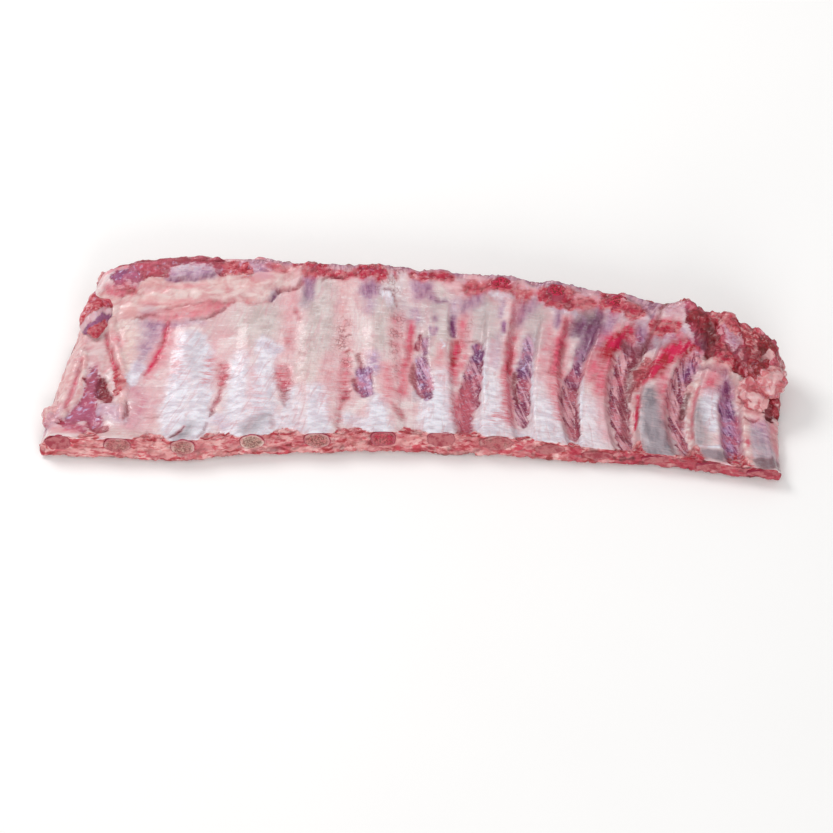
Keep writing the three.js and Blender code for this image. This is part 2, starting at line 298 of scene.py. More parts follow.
def membrane_marks():
    """Broad tones of the membrane: grey and dry above, thick and white below, cream at the loin."""
    for rib, strength in ((4, 0.7), (5, 0.95), (6, 0.85), (7, 0.9)):
        mark([(rib + 0.05, 0.87), (rib, 0.62)], 14, 14, grey=strength)
    for rib, strength in ((7.75, 0.75), (8.7, 0.7), (9.7, 0.35)):
        mark([(rib, 0.85), (rib + 0.05, 0.68)], 11, 10, 1, grey=strength, blue=0.25)
    mark([(3.4, 0.74), (3.9, 0.7), (4.25, 0.72)], 13, 12, grey=0.75)
    mark([(4.95, 0.6), (4.85, 0.42)], 11, 10, grey=0.5, cream=0.5)
    mark([(6.35, 0.84), (6.6, 0.76), (6.9, 0.8)], 9, 8, grey=0.8, lilac=0.25)
    mark([(1.75, 0.66), (1.95, 0.55), (2, 0.45)], [16, 16, 10], 9, 0.8, cream=0.95)
    mark([(2.4, 0.24), (2.5, 0.12)], 12, 12, cream=0.35, pink=0.25)
    mark([(2.75, 0.2), (2.9, 0.08)], 10, 10, white=0.5, cream=0.4)
    lows = ((2.85, 0.62, 1), (3.2, 0.55, 0.9), (3.75, 0.5, 0.9), (4.15, 0.56, 1), (4.6, 0.3, 0.7),
            (5, 0.3, 1), (5.9, 0.22, 0.9), (6.85, 0.3, 1), (7.05, 0.42, 0.7), (7.88, 0.62, 0.55),
            (8, 0.36, 0.5), (8.8, 0.42, 0.5), (9, 0.28, 0.6), (9.85, 0.34, 0.45), (10.05, 0.3, 0.25))
    for rib, top, strength in lows:
        mark([(rib, top), (rib, 0.3 * top), (rib, 0.04)], [7, 11, 12], 9, 0.5, white=strength)
    for gap, reach in ((3.6, 0.14), (5.6, 0.12), (7.75, 0.1), (8.5, 0.07), (9.45, 0.06), (4.5, 0.1)):
        mark([(gap - 0.15, reach), (gap + 0.15, 0.5 * reach)], 6, 7, 0.4, white=0.9, streak=0.3)
    mark([(2.2, 0.46), (2.1, 0.38)], 6, 5, white=1)
    mark([(4.15, 0.13), (3.95, 0.05)], [6, 9], 6, blue=0.6)
    mark([(3.1, 0.1), (2.98, 0.04)], [4, 9], 5, blue=0.7)
    mark([(3.05, 0.62), (3, 0.5), (3.1, 0.42)], [7, 8, 6], 7, white=1, blue=0.25)
    mark([(4.1, 0.6), (4.35, 0.56)], 6, 5, white=0.8, lilac=0.2)
    mark([(3.5, 0.14), (3.55, 0.09)], 5, 6, lilac=0.35)


def neck_bone_marks():
    """Bluish bone that shines through where the last ribs are scraped nearly bare."""
    mark([(10.9, 0.46), (10.98, 0.27), (11.05, 0.05)], [11, 16, 19], 6, blue=1, grey=0.3, pink=-1)
    mark([(10.82, 0.3), (10.84, 0.16), (10.9, 0.06)], [1, 2, 1.5], 4, white=0.6, blue=-0.4)
    mark([(11.8, 0.46), (11.84, 0.3), (11.88, 0.17)], [4, 7, 7], 6, blue=0.7, grey=0.3)
    mark([(12, 0.56), (12, 0.42), (12.08, 0.3)], [7, 8, 6], 5, 0.5, white=1, pink=0.3)
    mark([(11.95, 0.07), (12.3, 0.08)], 7, 2.5, -0.8, blue=1, brown=0.2, white=-1, pink=-1)
    mark([(11.8, 0.12), (12.05, 0.135), (12.35, 0.16)], 1, 2, 0.8, white=1, blue=-0.8)
    mark([(13.1, 0.4), (13.2, 0.3)], [7, 8], 5, lilac=0.7, pink=0.4)
    mark([(13, 0.3), (13.2, 0.14)], [8, 10], 5, blue=0.5, lilac=0.4, white=0.3)
    mark([(13.05, 0.06), (13.5, 0.07)], 8, 2.5, -0.8, blue=1, brown=0.35, deep=0.3, white=-1, pink=-1)
    mark([(13.5, 0.42), (13.75, 0.1)], 5, 4, pink=0.6, lilac=0.4)


def window_marks():
    """Windows in the membrane up to rib 9, where the muscle between two ribs lies bare."""
    mark([(5.85, 0.53), (5.85, 0.44)], [5, 6], 4, -0.4, lilac=0.9, white=-0.4, glisten=0.6)
    mark([(5.7, 0.42), (5.7, 0.34), (5.75, 0.29)], [8, 9, 6], 3, -1.2, muscle=0.7, purple=0.6, lilac=0.8,
         glisten=0.8)
    mark([(5.62, 0.53), (5.66, 0.46)], [2, 2.5], 3, -1, brown=0.6, blood=0.3, crackle=0.8)
    mark([(5.55, 0.38), (5.6, 0.31)], 2, 2, -1, brown=0.8, blood=0.3)
    mark([(6.7, 0.68), (6.62, 0.6)], [2, 3.5], 2, -1, muscle=0.8, brown=0.7)
    mark([(6.78, 0.64), (6.76, 0.58)], [4, 3], 3, -0.6, muscle=0.6, purple=0.7)
    mark([(6.68, 0.52), (6.7, 0.43), (6.75, 0.33), (6.8, 0.28)], [6, 8, 8, 4], 3, -1.4, muscle=0.8,
         lilac=0.6, purple=0.2, glisten=1)
    mark([(6.53, 0.5), (6.52, 0.42), (6.6, 0.33), (6.72, 0.28)], [1.5, 2.5, 2.5, 1.5], 2, -1.2, brown=0.8,
         blood=0.35)
    mark([(7.68, 0.64), (7.7, 0.58)], 5, 2.5, -1.4, muscle=0.75, lilac=0.8, purple=0.5)
    mark([(7.66, 0.55), (7.6, 0.45), (7.58, 0.35), (7.55, 0.25)], [6, 9, 9, 7], 3, -2, muscle=1,
         purple=0.35)
    mark([(7.52, 0.4), (7.5, 0.27), (7.45, 0.15), (7.42, 0.04)], [5, 8, 7, 5], 4, -1.4, muscle=0.9,
         brown=0.25, blood=0.9, streak=1)
    mark([(8.58, 0.72), (8.6, 0.64), (8.55, 0.52)], [5, 6, 7], 4, -1, muscle=0.6, lilac=0.9, glisten=1)
    mark([(8.58, 0.5), (8.52, 0.38), (8.5, 0.27), (8.52, 0.16)], [6, 8, 8, 5], 3, -2, muscle=1,
         purple=0.25)
    mark([(8.38, 0.5), (8.36, 0.42), (8.42, 0.3)], [1.5, 2.2, 1.5], 2, -1.2, brown=0.9, deep=0.3)


def neck_window_marks():
    """The windows past rib 9, which are deeper, and white lines along the rims of some."""
    # Painted shade: the dark purple trough at the top of this gap, under the rim.
    mark([(9.75, 0.84), (9.7, 0.75), (9.66, 0.66)], [8, 7, 5], 5, -1.8, purple=1, muscle=0.3, deep=0.4)
    mark([(9.62, 0.7), (9.62, 0.58), (9.58, 0.5)], [5, 6, 7], 3, -1.5, muscle=0.85, purple=0.6)
    mark([(9.55, 0.5), (9.5, 0.36), (9.53, 0.24), (9.58, 0.1)], [7, 8, 8, 5], 3, -2, muscle=1, brown=0.25)
    mark([(10.45, 0.8), (10.4, 0.68), (10.38, 0.56), (10.42, 0.42), (10.47, 0.27), (10.52, 0.05)],
         [10, 9, 9, 9, 9, 6], 2.5, -2.6, muscle=1)
    mark([(10.56, 0.8), (10.52, 0.6), (10.53, 0.4), (10.55, 0.15)], 4, 4, -0.8, brown=0.6, deep=0.25)
    mark([(11.42, 0.78), (11.38, 0.7), (11.33, 0.6), (11.36, 0.45), (11.43, 0.3), (11.5, 0.14),
         (11.54, 0.05)], [8, 9, 8, 8, 7, 5, 3], 3, -2.6, muscle=1)
    mark([(11.5, 0.42), (11.53, 0.3)], [2.5, 2], 2.5, -0.6, brown=0.6, deep=0.25)
    mark([(11.45, 0.77), (11.42, 0.68)], [5, 6], 4, purple=0.85)
    mark([(11.55, 0.55), (11.55, 0.45), (11.52, 0.37)], [2, 3, 2], 2, -1, brown=0.7, deep=0.5)
    mark([(12.25, 0.71), (12.3, 0.62), (12.33, 0.5)], [6, 8, 7], 4, -1.4, purple=0.95, muscle=0.4)
    mark([(12.35, 0.5), (12.42, 0.36), (12.42, 0.2), (12.42, 0.1)], [7, 8, 8, 6], 4, -1.4, lilac=0.8,
         muscle=0.75, purple=0.6, glisten=0.5)
    mark([(12.57, 0.45), (12.56, 0.3), (12.54, 0.15)], [2, 2.5, 2], 3, -0.8, blood=0.5, purple=0.6)
    for line, v in ((7.8, 0.5), (8.7, 0.5), (9.76, 0.42), (8.72, 0.3), (7.8, 0.36), (9.74, 0.28)):
        mark([(line, v + 0.1), (line + 0.02, v - 0.1)], 1.2, 2, 0.8, white=1)


def thin_membrane_marks():
    """Purple muscle that shows through the membrane where it is thin."""
    mark([(2.3, 0.7), (2.33, 0.64), (2.25, 0.58)], [12, 8, 5], 7, -0.5, lilac=0.75, purple=0.2)
    mark([(2.25, 0.55), (2.2, 0.46)], [5, 4], 5, -0.6, lilac=0.6)
    mark([(7.25, 0.8), (7.25, 0.75), (7.26, 0.71)], [2.5, 4, 2.5], 2.5, -1, purple=1, deep=0.15)
    mark([(7.25, 0.86), (7.25, 0.82)], 3, 3, -0.4, lilac=0.7)
    mark([(8.03, 0.87), (8.02, 0.82)], 2, 2.5, -0.5, lilac=0.9)
    mark([(8.1, 0.78), (8.1, 0.74)], 1.6, 2, -0.5, purple=1)
    mark([(9.08, 0.87), (9.08, 0.81)], 2.5, 3, -0.8, purple=0.6, lilac=0.7)
    mark([(10, 0.9), (9.97, 0.82), (9.92, 0.75)], [4, 4, 2.5], 4, -0.5, lilac=0.9, purple=0.2)
    mark([(6.95, 0.78), (6.95, 0.77)], 2, 1.5, -0.4, purple=0.6, grey=0.5)
    mark([(6.88, 0.72), (6.92, 0.69), (6.96, 0.72)], 1.2, 2, -0.3, lilac=0.9, purple=0.4)
    mark([(6.6, 0.81), (6.63, 0.78)], 3, 3, lilac=0.7)
    mark([(5.85, 0.87), (5.82, 0.8)], [6, 3], 6, lilac=0.8, purple=0.15)
    mark([(4.85, 0.86), (4.8, 0.82)], 4, 5, lilac=0.4, blue=0.5)


def loin_stain_marks():
    """Pink and red staining of the loin half, in bands beside the ribs."""
    mark([(2.53, 0.71), (2.52, 0.62), (2.48, 0.55), (2.4, 0.48), (2.3, 0.42)], [1.5, 2, 2, 1.5, 1], 2.5,
         -1.2, blood=0.8)
    mark([(2.56, 0.68), (2.5, 0.54), (2.35, 0.42)], [6, 7, 6], 6, pink=0.8)
    mark([(2.15, 0.33), (2.35, 0.24), (2.2, 0.1)], [9, 12, 10], 9, pink=0.5, lilac=0.2)
    mark([(1.6, 0.64), (1.72, 0.6)], 5, 6, pink=0.7)
    mark([(2.75, 0.6), (2.8, 0.42)], [8, 10], 8, pink=0.3, streak=0.6)
    mark([(3.3, 0.76), (3.5, 0.66)], [14, 10], 9, pink=0.25)
    mark([(3.35, 0.6), (3.3, 0.5)], 3, 3, pink=0.5)
    mark([(3.5, 0.46), (3.52, 0.4), (3.5, 0.35)], [5, 5, 3], 4, -1, blood=0.35, streak=1, pink=0.6,
         crackle=0.8)
    mark([(3.3, 0.5), (3.25, 0.38)], [5, 6], 6, pink=0.5, streak=0.8)
    mark([(4, 0.4), (4.1, 0.2), (3.95, 0.1)], [6, 8, 5], 8, pink=0.35, streak=0.5)
    mark([(4.45, 0.42), (4.5, 0.36)], [9, 8], 5, -0.8, blood=0.25, streak=1, pink=0.5, crackle=0.8)
    mark([(4.55, 0.86), (4.55, 0.7), (4.5, 0.52)], [9, 7, 6], 8, pink=0.35, streak=0.3)
    mark([(4.65, 0.78), (4.7, 0.74)], [2, 1.5], 2, -0.4, blood=0.4, brown=0.2)
    mark([(5.2, 0.5), (5.2, 0.36), (5.1, 0.16)], [6, 8, 7], 8, pink=0.25, streak=0.5)
    mark([(5.45, 0.93), (5.4, 0.75), (5.42, 0.55)], [7, 6, 6], 6, pink=0.4, cream=0.6)
    mark([(5.45, 0.5), (5.42, 0.38), (5.42, 0.27)], [4, 5, 4], 5, -0.8, pink=0.6, blood=0.2, streak=1,
         crackle=0.6)
    mark([(6.05, 0.45), (6.1, 0.3), (6, 0.22)], [5, 6, 5], 6, pink=0.55, streak=0.8)
    mark([(5.95, 0.24), (6.12, 0.22)], 1.5, 2, blood=0.4)
    mark([(6.38, 0.5), (6.35, 0.38), (6.33, 0.28)], [4, 4, 3], 5, pink=0.9, streak=0.9)
    mark([(6.53, 0.74), (6.5, 0.65), (6.46, 0.57), (6.4, 0.48)], [3, 4, 4, 2], 2.5, -0.6, blood=0.55,
         pink=1)
    mark([(6.2, 0.19), (6.3, 0.13)], [3, 3.5], 3, -0.5, blood=0.35, brown=0.3, streak=0.6)
    mark([(6.15, 0.31), (6.3, 0.3)], 2.5, 3, blood=0.3, streak=0.6)


def neck_stain_marks():
    """Pink and red staining of the neck half, in bands and in curves under the last heads."""
    mark([(7.05, 0.62), (7.05, 0.48), (7.05, 0.34)], [3, 4, 4], 5, pink=0.6, cream=0.4, streak=0.5)
    mark([(7.42, 0.79), (7.42, 0.72), (7.4, 0.66)], [5, 6, 6], 5, pink=0.9, blood=0.3)
    mark([(7.3, 0.66), (7.3, 0.6), (7.28, 0.53)], [4, 4.5, 3], 2.5, -0.8, blood=0.85, pink=0.6)
    mark([(7.27, 0.5), (7.28, 0.4)], [4, 3], 4, blood=0.35, pink=0.8, streak=1)
    mark([(7.45, 0.58), (7.42, 0.52)], 4, 4, pink=0.7, cream=0.5)
    mark([(7.3, 0.3), (7.28, 0.1)], [4, 5], 5, pink=0.7, blood=0.25, streak=1)
    mark([(8.3, 0.88), (8.28, 0.78), (8.27, 0.7)], [5, 4, 4], 5, -0.4, pink=0.9, brown=0.3, blood=0.2)
    mark([(8.25, 0.66), (8.25, 0.58), (8.24, 0.5)], [4.5, 5, 4.5], 2.2, -0.8, blood=0.7, pink=0.7)
    mark([(8.23, 0.48), (8.23, 0.3), (8.25, 0.12)], [5, 6, 5], 4, pink=0.9, blood=0.2, streak=1)
    mark([(7.92, 0.66), (7.93, 0.52)], 1.5, 2.5, pink=0.8, blood=0.15)
    mark([(8.02, 0.7), (8.02, 0.5)], 2.5, 4, lilac=0.5)
    mark([(8.05, 0.16), (8, 0.14)], 9, 3, streak=1, pink=0.25)
    mark([(8.95, 0.8), (8.95, 0.6), (8.9, 0.45)], [4, 6, 4], 6, pink=0.75, cream=0.3)
    mark([(9.25, 0.83), (9.22, 0.74)], 4, 4, -0.4, blood=0.45, pink=0.9)
    mark([(9.2, 0.7), (9.2, 0.6), (9.18, 0.52)], [6, 6, 5], 4, -0.8, blood=0.55, pink=0.9, crackle=0.8)
    mark([(9.2, 0.5), (9.22, 0.36), (9.25, 0.2)], [6, 6, 5], 5, pink=0.8, streak=1)
    mark([(9.92, 0.78), (9.9, 0.64), (9.88, 0.52)], [5, 8, 7], 6, pink=0.85, blood=0.3, cream=0.3)
    mark([(10.05, 0.7), (10.05, 0.6)], 2, 3, cream=0.6)
    mark([(10.3, 0.86), (10.2, 0.82), (10.13, 0.75), (10.1, 0.69)], [5, 7, 8, 6], 5, blood=1)
    mark([(10.25, 0.83), (10.15, 0.75)], [3, 4], 5, blood=1)
    mark([(10.12, 0.68), (10.1, 0.55), (10.12, 0.45)], [6, 7, 5], 5, pink=1, blood=0.35, streak=0.7)
    mark([(10.15, 0.42), (10.18, 0.25), (10.2, 0.1)], [5, 4, 4], 6, pink=0.55, streak=0.4)
    mark([(11.45, 0.85), (11.25, 0.835), (11.08, 0.79), (10.95, 0.72), (10.85, 0.64)], [4, 7, 10, 11, 8],
         5, blood=1)
    mark([(10.8, 0.62), (10.75, 0.57)], [6, 5], 4, blood=0.6, pink=1, crackle=0.6)
    mark([(11.05, 0.6), (11.15, 0.48), (11.2, 0.3), (11.25, 0.14)], [8, 5, 3, 3], 5, pink=1, blood=0.2)
    mark([(10.9, 0.86), (11.2, 0.87), (11.5, 0.86)], [6, 6, 4], 4, 0.6, lilac=0.7, white=0.4)
    mark([(10.75, 0.83), (10.85, 0.8)], [7, 6], 5, lilac=0.6, blue=0.4)
    mark([(11.95, 0.68), (11.95, 0.6)], [9, 8], 6, pink=1, blood=0.35)


def loin_torn_marks():
    """Torn membrane, and creases with brownish edges partly painted as shade, beside the ribs of the loin
    half.
    """
    mark([(3.5, 0.32), (3.46, 0.26), (3.38, 0.2)], [1.5, 2, 1.5], 2, -1.2, brown=0.5, crackle=0.8,
         pink=0.7, blood=0.2)
    mark([(3.42, 0.19), (3.36, 0.16)], [2.5, 1.5], 2, -1.4, brown=0.8)
    mark([(3.34, 0.12), (3.3, 0.06), (3.22, 0.02)], [1, 1.6, 1], 2, -1.4, brown=0.6, pink=0.5)
    mark([(2.82, 0.02), (2.92, 0.06), (3, 0.095)], [1, 1.2, 0.5], 1.2, -1.4, deep=0.8, blood=0.6)
    mark([(2.4, 0.155), (2.58, 0.165)], [0.8, 1.2], 1.5, -0.5, brown=0.5)
    mark([(2.45, 0.07), (2.42, 0.02)], [1, 1.5], 1.5, -0.8, brown=0.7)
    mark([(4.48, 0.33), (4.5, 0.25)], [4, 3], 4, -1, brown=0.4, blood=0.3, crackle=1, streak=0.8)
    mark([(4.48, 0.23), (4.5, 0.2)], [1.5, 1.2], 2, -0.8, brown=0.5)
    mark([(4.3, 0.12), (4.3, 0.06)], [2, 2.5], 3, -0.6, brown=0.35)
    mark([(4.55, 0.66), (4.55, 0.6)], [4, 3], 4, -0.4, brown=0.2, streak=0.8)
    mark([(4.72, 0.54), (4.82, 0.535)], [1.2, 0.8], 1.2, -0.4, brown=0.5)
    mark([(5.37, 0.66), (5.45, 0.645), (5.55, 0.655)], [0.8, 1, 0.5], 1, -0.8, brown=0.9)
    mark([(5.42, 0.55), (5.5, 0.56), (5.56, 0.555)], [1, 1.2, 0.8], 1.2, -0.8, blood=0.7)
    mark([(5.42, 0.72), (5.38, 0.62), (5.45, 0.5)], [6, 6, 5], 5, -0.3, crackle=1)
    mark([(5.45, 0.29), (5.42, 0.25)], [3, 2.5], 3, -1, brown=0.45, blood=0.3, streak=1, crackle=0.6)
    mark([(5.38, 0.24), (5.32, 0.14), (5.32, 0.05)], [1.5, 2, 1.5], 4, -0.8, brown=0.3, blood=0.2,
         streak=1, crackle=0.6)
    mark([(6.3, 0.76), (6.25, 0.62), (6.28, 0.5), (6.25, 0.4)], [6, 6, 5, 3], 5, -0.5, crackle=1,
         pink=0.55, streak=0.5, cream=0.4)
    mark([(6.55, 0.3), (6.6, 0.27)], [3, 4], 3, -0.6, brown=0.3, white=0.6)
    mark([(6.1, 0.91), (6.3, 0.92), (6.4, 0.96)], [8, 8, 6], 5, 0.6, cream=0.9, crackle=0.9, white=0.3)
    mark([(6.1, 0.875), (6.17, 0.845)], [3.5, 4], 3, 1.6, white=0.8, cream=0.6)
    mark([(6.08, 0.885), (6.18, 0.89), (6.28, 0.893)], [0.6, 1, 0.6], 1.2, -1.2, brown=0.7)
    mark([(6.24, 0.87), (6.28, 0.83)], [0.8, 1], 1.2, -1.2, brown=0.8)
    mark([(6.3, 0.97), (6.32, 0.93)], [0.6, 0.8], 1, -0.6, blood=0.7)


def neck_torn_marks():
    """Torn membrane, creases and ropes of fat beside the ribs of the neck half."""
    mark([(6.9, 0.87), (7.05, 0.86), (7.15, 0.87)], [2, 1, 1], 1.5, -0.8, purple=0.7)
    mark([(7.55, 0.79), (7.5, 0.72), (7.48, 0.68)], 2, 4, -0.3, crackle=0.8)
    mark([(7.05, 0.66), (7.12, 0.63), (7.08, 0.6)], [0.8, 1, 0.6], 1, 0.5, white=1)
    mark([(7.5, 0.67), (7.65, 0.68), (7.75, 0.66)], [0.6, 0.9, 0.6], 1, -0.8, brown=0.7)
    mark([(9.12, 0.69), (9.25, 0.73)], [0.8, 0.6], 1, -0.8, brown=0.7)
    mark([(10.7, 0.72), (10.66, 0.62), (10.66, 0.52)], [4, 6, 4], 3, 1, fat=0.5, cut=0.8, blood=0.6,
         crackle=1)
    mark([(10.62, 0.62), (10.6, 0.5), (10.62, 0.42)], [1.2, 1.5, 1], 1.5, -1.2, brown=0.9, blood=0.4)
    mark([(10.7, 0.5), (10.7, 0.3), (10.72, 0.1)], 4, 2.5, 1.6, fat=0.9, pink=0.5)
    mark([(10.74, 0.46), (10.74, 0.3), (10.72, 0.2)], [1.2, 1.5, 1], 1.5, -0.5, blood=0.9)
    mark([(10.7, 0.07), (10.7, 0)], [4, 5], 3, 0.5, cut=1, blood=0.3)
    mark([(11.5, 0.68), (11.5, 0.6), (11.56, 0.54)], [4, 6, 3], 2, 1.2, fat=0.9, brown=0.15)
    mark([(11.68, 0.66), (11.66, 0.45), (11.68, 0.25), (11.68, 0.08)], [3, 4, 4, 4], 2.5, 1.6, fat=0.9,
         white=0.4)
    mark([(11.72, 0.6), (11.71, 0.4), (11.7, 0.2)], [1.2, 1.2, 0.8], 1.5, -0.5, pink=1, blood=0.4)
    mark([(11.65, 0.06), (11.65, 0)], [7, 9], 4, 0.6, cut=1, blood=0.4)
    mark([(12.45, 0.08), (12.5, 0)], [8, 10], 4, 0.6, cut=1, blood=0.4)
    mark([(12.72, 0.45), (12.74, 0.25), (12.74, 0.06)], [4, 5, 4], 3, 1.4, fat=0.9, cream=0.5)
    mark([(12.76, 0.24), (12.76, 0.19)], [1.5, 1], 1.5, -0.3, blood=0.9)


def loin_marks():
    """The loin end: ridges of fat, a lean pocket with painted glints and a hollow of painted shade beside
    it, and a furrow.
    """
    mark([(0.95, 0.56), (1.25, 0.58), (1.45, 0.48)], [11, 13, 9], 7, 1.2, fat=1, lilac=0.3)
    mark([(1.3, 0.45), (1.35, 0.36), (1.38, 0.27)], [4, 8, 10], 4, -1.6, lean=0.8, pink=0.8, lilac=0.55,
         glisten=1)
    mark([(1.15, 0.14), (1.35, 0.19), (1.5, 0.18), (1.62, 0.12)], [8, 11, 10, 6], 5, -1.8, lean=0.85,
         pink=0.7, lilac=0.6, purple=0.25, glisten=1)
    mark([(1.5, 0.1), (1.7, 0.06), (1.8, 0.07)], [3, 4, 3], 3, -0.8, lean=0.8, blood=0.5, pink=0.6)
    mark([(1.55, 0.38), (1.6, 0.32), (1.75, 0.26)], [4, 6, 4], 2.5, -3.4, brown=0.5, deep=0.4, lean=0.8,
         blood=0.4)
    mark([(1.65, 0.37), (1.75, 0.33)], [2.5, 2], 2, 1.4, fat=0.8, grey=0.6, brown=-0.8, deep=-1)
    mark([(1.8, 0.44), (1.86, 0.4), (1.95, 0.35), (1.9, 0.29)], [2.5, 4.5, 5, 3], 2.5, 0.6, blood=0.5,
         cut=0.9, brown=-0.6)
    mark([(1.7, 0.2), (1.88, 0.18), (2, 0.13)], [7, 9, 7], 4, 3.6, lilac=0.5, pink=0.75, white=0.45,
         fat=0.3, lean=-1, glisten=-0.6)
    mark([(1.4, 0.73), (1.65, 0.59), (1.88, 0.46), (2, 0.34), (2.02, 0.23), (2.05, 0.12)],
         [3, 3.5, 3.5, 4, 4, 3], 3, 3.2, cream=1, fat=0.5, pink=0.3)
    # Painted shade: a brown line down the ridge's shaded side.
    mark([(2.08, 0.25), (2.13, 0.19), (2.08, 0.12)], [0.7, 1.6, 0.9], 1.6, -2.2, brown=0.8)
    mark([(1.32, 0.67), (1.42, 0.62), (1.55, 0.57), (1.66, 0.51), (1.78, 0.45)], [0.6, 0.8, 1, 1.8, 2.2],
         2.2, -1.8, blood=0.85, cut=0.4)
    mark([(0.15, 0.72), (0.15, 0.53), (0.18, 0.37), (0.1, 0.24)], [7, 7, 8, 7], 5, 2.4, fat=1, pink=0.4)
    mark([(0.78, 0.52), (0.85, 0.39), (0.86, 0.3), (0.85, 0.2)], [0.8, 1.2, 1.6, 1.2], 2.5, -2.2,
         pink=0.9, blood=0.45, fat=-0.5)
    mark([(0.85, 0.56), (1, 0.4), (1.12, 0.3), (1.05, 0.23), (0.93, 0.16)], [2.5, 2.5, 3, 3, 3], 2, 2.4,
         fat=1, white=0.4, lean=-1, lilac=-1, glisten=-1, pink=-0.5)
    mark([(1.08, 0.39), (1.15, 0.385)], 1.8, 2, -0.5, lean=0.8, blood=0.4)
    mark([(0, 0.2), (0.05, 0.12)], 8, 5, lilac=0.7, pink=0.6)
    mark([(0.6, 0.06), (1.1, 0.05), (1.4, 0.04)], 4, 4, 0.6, fat=0.5, pink=0.8, blood=0.15)
    mark([(0.8, 0.12), (1.15, 0.08), (1.45, 0.07)], [4, 5, 3], 3, -0.8, lean=0.7, pink=0.8, lilac=0.3,
         glisten=0.4, fat=-0.6)
    mark([(0.7, 0.13), (0.9, 0.11)], 2, 2, -1.2, cut=1, blood=0.3)
    mark([(1.75, 0.035), (2, 0.05), (2.4, 0.03)], [3, 5, 5], 4, 0.5, cream=0.8, grey=0.4, fat=0.4)


def sheet_marks():
    """The fat sheet over the chine side of the loin end, with a redder flap below it."""
    mark([(1, 0.86), (1.5, 0.82), (2.2, 0.83), (3, 0.855), (3.8, 0.87), (4.4, 0.91)],
         [7, 13, 16, 13, 11, 7], 3, 1, fat=1, grey=-1, pink=-0.6, white=-1)
    mark([(1.5, 0.76), (2.2, 0.765), (2.8, 0.785), (3.3, 0.815)], [6, 8, 7, 5], 3, 0.8, fat=1, grey=-1,
         white=-1)
    mark([(2.3, 0.82), (2.55, 0.825), (2.75, 0.82)], [4, 5, 4], 3, 1.6, fat=0.4, white=0.5)
    mark([(2.05, 0.875), (2.25, 0.885)], [4, 3], 3, 1.2, white=0.8)
    mark([(1.55, 0.845), (1.85, 0.85), (2, 0.83)], [1, 1.2, 0.8], 1.6, -1.2, blood=0.3, brown=0.25)
    mark([(2.1, 0.84), (2.6, 0.86), (3.1, 0.87)], [0.8, 1, 0.8], 2, -0.9, pink=0.9)
    mark([(2, 0.79), (2.5, 0.79), (2.9, 0.80)], [0.8, 1, 0.8], 2, -0.9, pink=0.9)
    mark([(2.12, 0.725), (2.5, 0.735), (2.9, 0.745), (3.25, 0.775), (3.5, 0.8)], [2, 5, 5.5, 4, 1.5], 1.8,
         2.2, fat=0.5, pink=1, blood=0.22, grey=-1, white=-1, lilac=-1)
    # A painted highlight: a white glint on the flap.
    mark([(2.72, 0.745), (2.82, 0.748)], 1.5, 1.5, 0.4, white=0.9)
    mark([(2.5, 0.765), (2.9, 0.785), (3.25, 0.8), (3.6, 0.812)], [0.8, 1.2, 1.2, 0.6], 1.6, -1.4,
         blood=0.35, brown=0.2)
    # Painted shadow: dark lines along the flap's lower edge.
    mark([(1.95, 0.725), (2.15, 0.725), (2.32, 0.737)], [0.6, 1, 0.6], 1, -1.2, brown=0.8)
    mark([(2.9, 0.715), (3.15, 0.735), (3.3, 0.757), (3.46, 0.785)], [0.5, 0.7, 0.9, 0.8], 1.5, -2,
         brown=0.8, deep=0.15)
    mark([(2.5, 0.7), (2.8, 0.7), (3.1, 0.71)], 2, 3, -0.6, lilac=0.5, purple=0.2)
    mark([(3.6, 0.815), (3.85, 0.81), (4.15, 0.82)], 0.8, 1.6, -1.2, blood=0.35, cream=0.3)
    mark([(4.05, 0.8), (4.15, 0.805)], 2, 2, 0.4, cream=1)
    mark([(4.2, 0.825), (4.26, 0.845), (4.35, 0.865)], [0.8, 2, 1.2], 1.6, -2, purple=0.8, deep=0.3)
    mark([(4.35, 0.865), (4.5, 0.877), (4.65, 0.885), (4.73, 0.91)], [1.2, 1, 1.4, 2], 1.5, -1.8,
         brown=0.7, blood=0.25)
    mark([(4.3, 0.96), (4.6, 0.95), (4.9, 0.95)], [5, 5, 4], 4, 0.4, fat=0.8, pink=0.5)
    # A dark line of painted shadow.
    mark([(5.1, 0.915), (5.22, 0.935), (5.42, 0.932)], [0.8, 1, 1.2], 1.4, -1.2, brown=0.8, deep=0.3)


def strip_marks():
    """A strip of lean along the rim of the loin end, with a pale sinew in it."""
    mark([(1.1, 0.895), (1.45, 0.875)], [6, 7], 3, pink=1, blood=0.25, lean=0.3, fat=-0.6)
    mark([(1.3, 0.945), (1.65, 0.935)], [7, 8], 3, lean=1, lilac=0.8, purple=0.25, glisten=1)
    mark([(1.75, 0.955), (2.4, 0.965)], 9, 3, lean=0.9, pink=0.7, blood=0.2, glisten=0.4)
    mark([(1.62, 0.87), (1.8, 0.855)], [3, 4], 3, blood=0.45, pink=0.9, cut=0.5)
    mark([(2.4, 0.99), (3.25, 0.985)], 7, 2.5, lean=1, blood=0.25, pink=0.4)
    mark([(2.5, 0.925), (2.8, 0.93), (3.15, 0.93)], [4, 6.5, 4.5], 1.5, 1.2, lilac=0.85, white=0.45,
         lean=-1, pink=0.3, fat=-1)
    mark([(2.5, 0.935), (2.8, 0.94), (3, 0.94)], [1.2, 2, 1], 2, 0.4, white=0.9, lilac=-0.5)
    mark([(2.42, 0.9), (2.8, 0.895), (3.2, 0.905), (3.3, 0.93)], [0.8, 1.4, 1.6, 1.4], 2.6, -1.2,
         purple=0.7, mauve=0.5, deep=0.12)
    mark([(3.28, 0.965), (3.35, 0.93)], 4, 2.5, lean=1, blood=0.8, white=-1)
    mark([(3.45, 0.955), (3.75, 0.945)], 7, 2.5, cut=1, blood=0.4, glisten=0.5, fat=-0.6)
    mark([(3.88, 0.975), (4.12, 0.975)], 5, 3, lilac=0.5, pink=0.9, lean=-0.8)


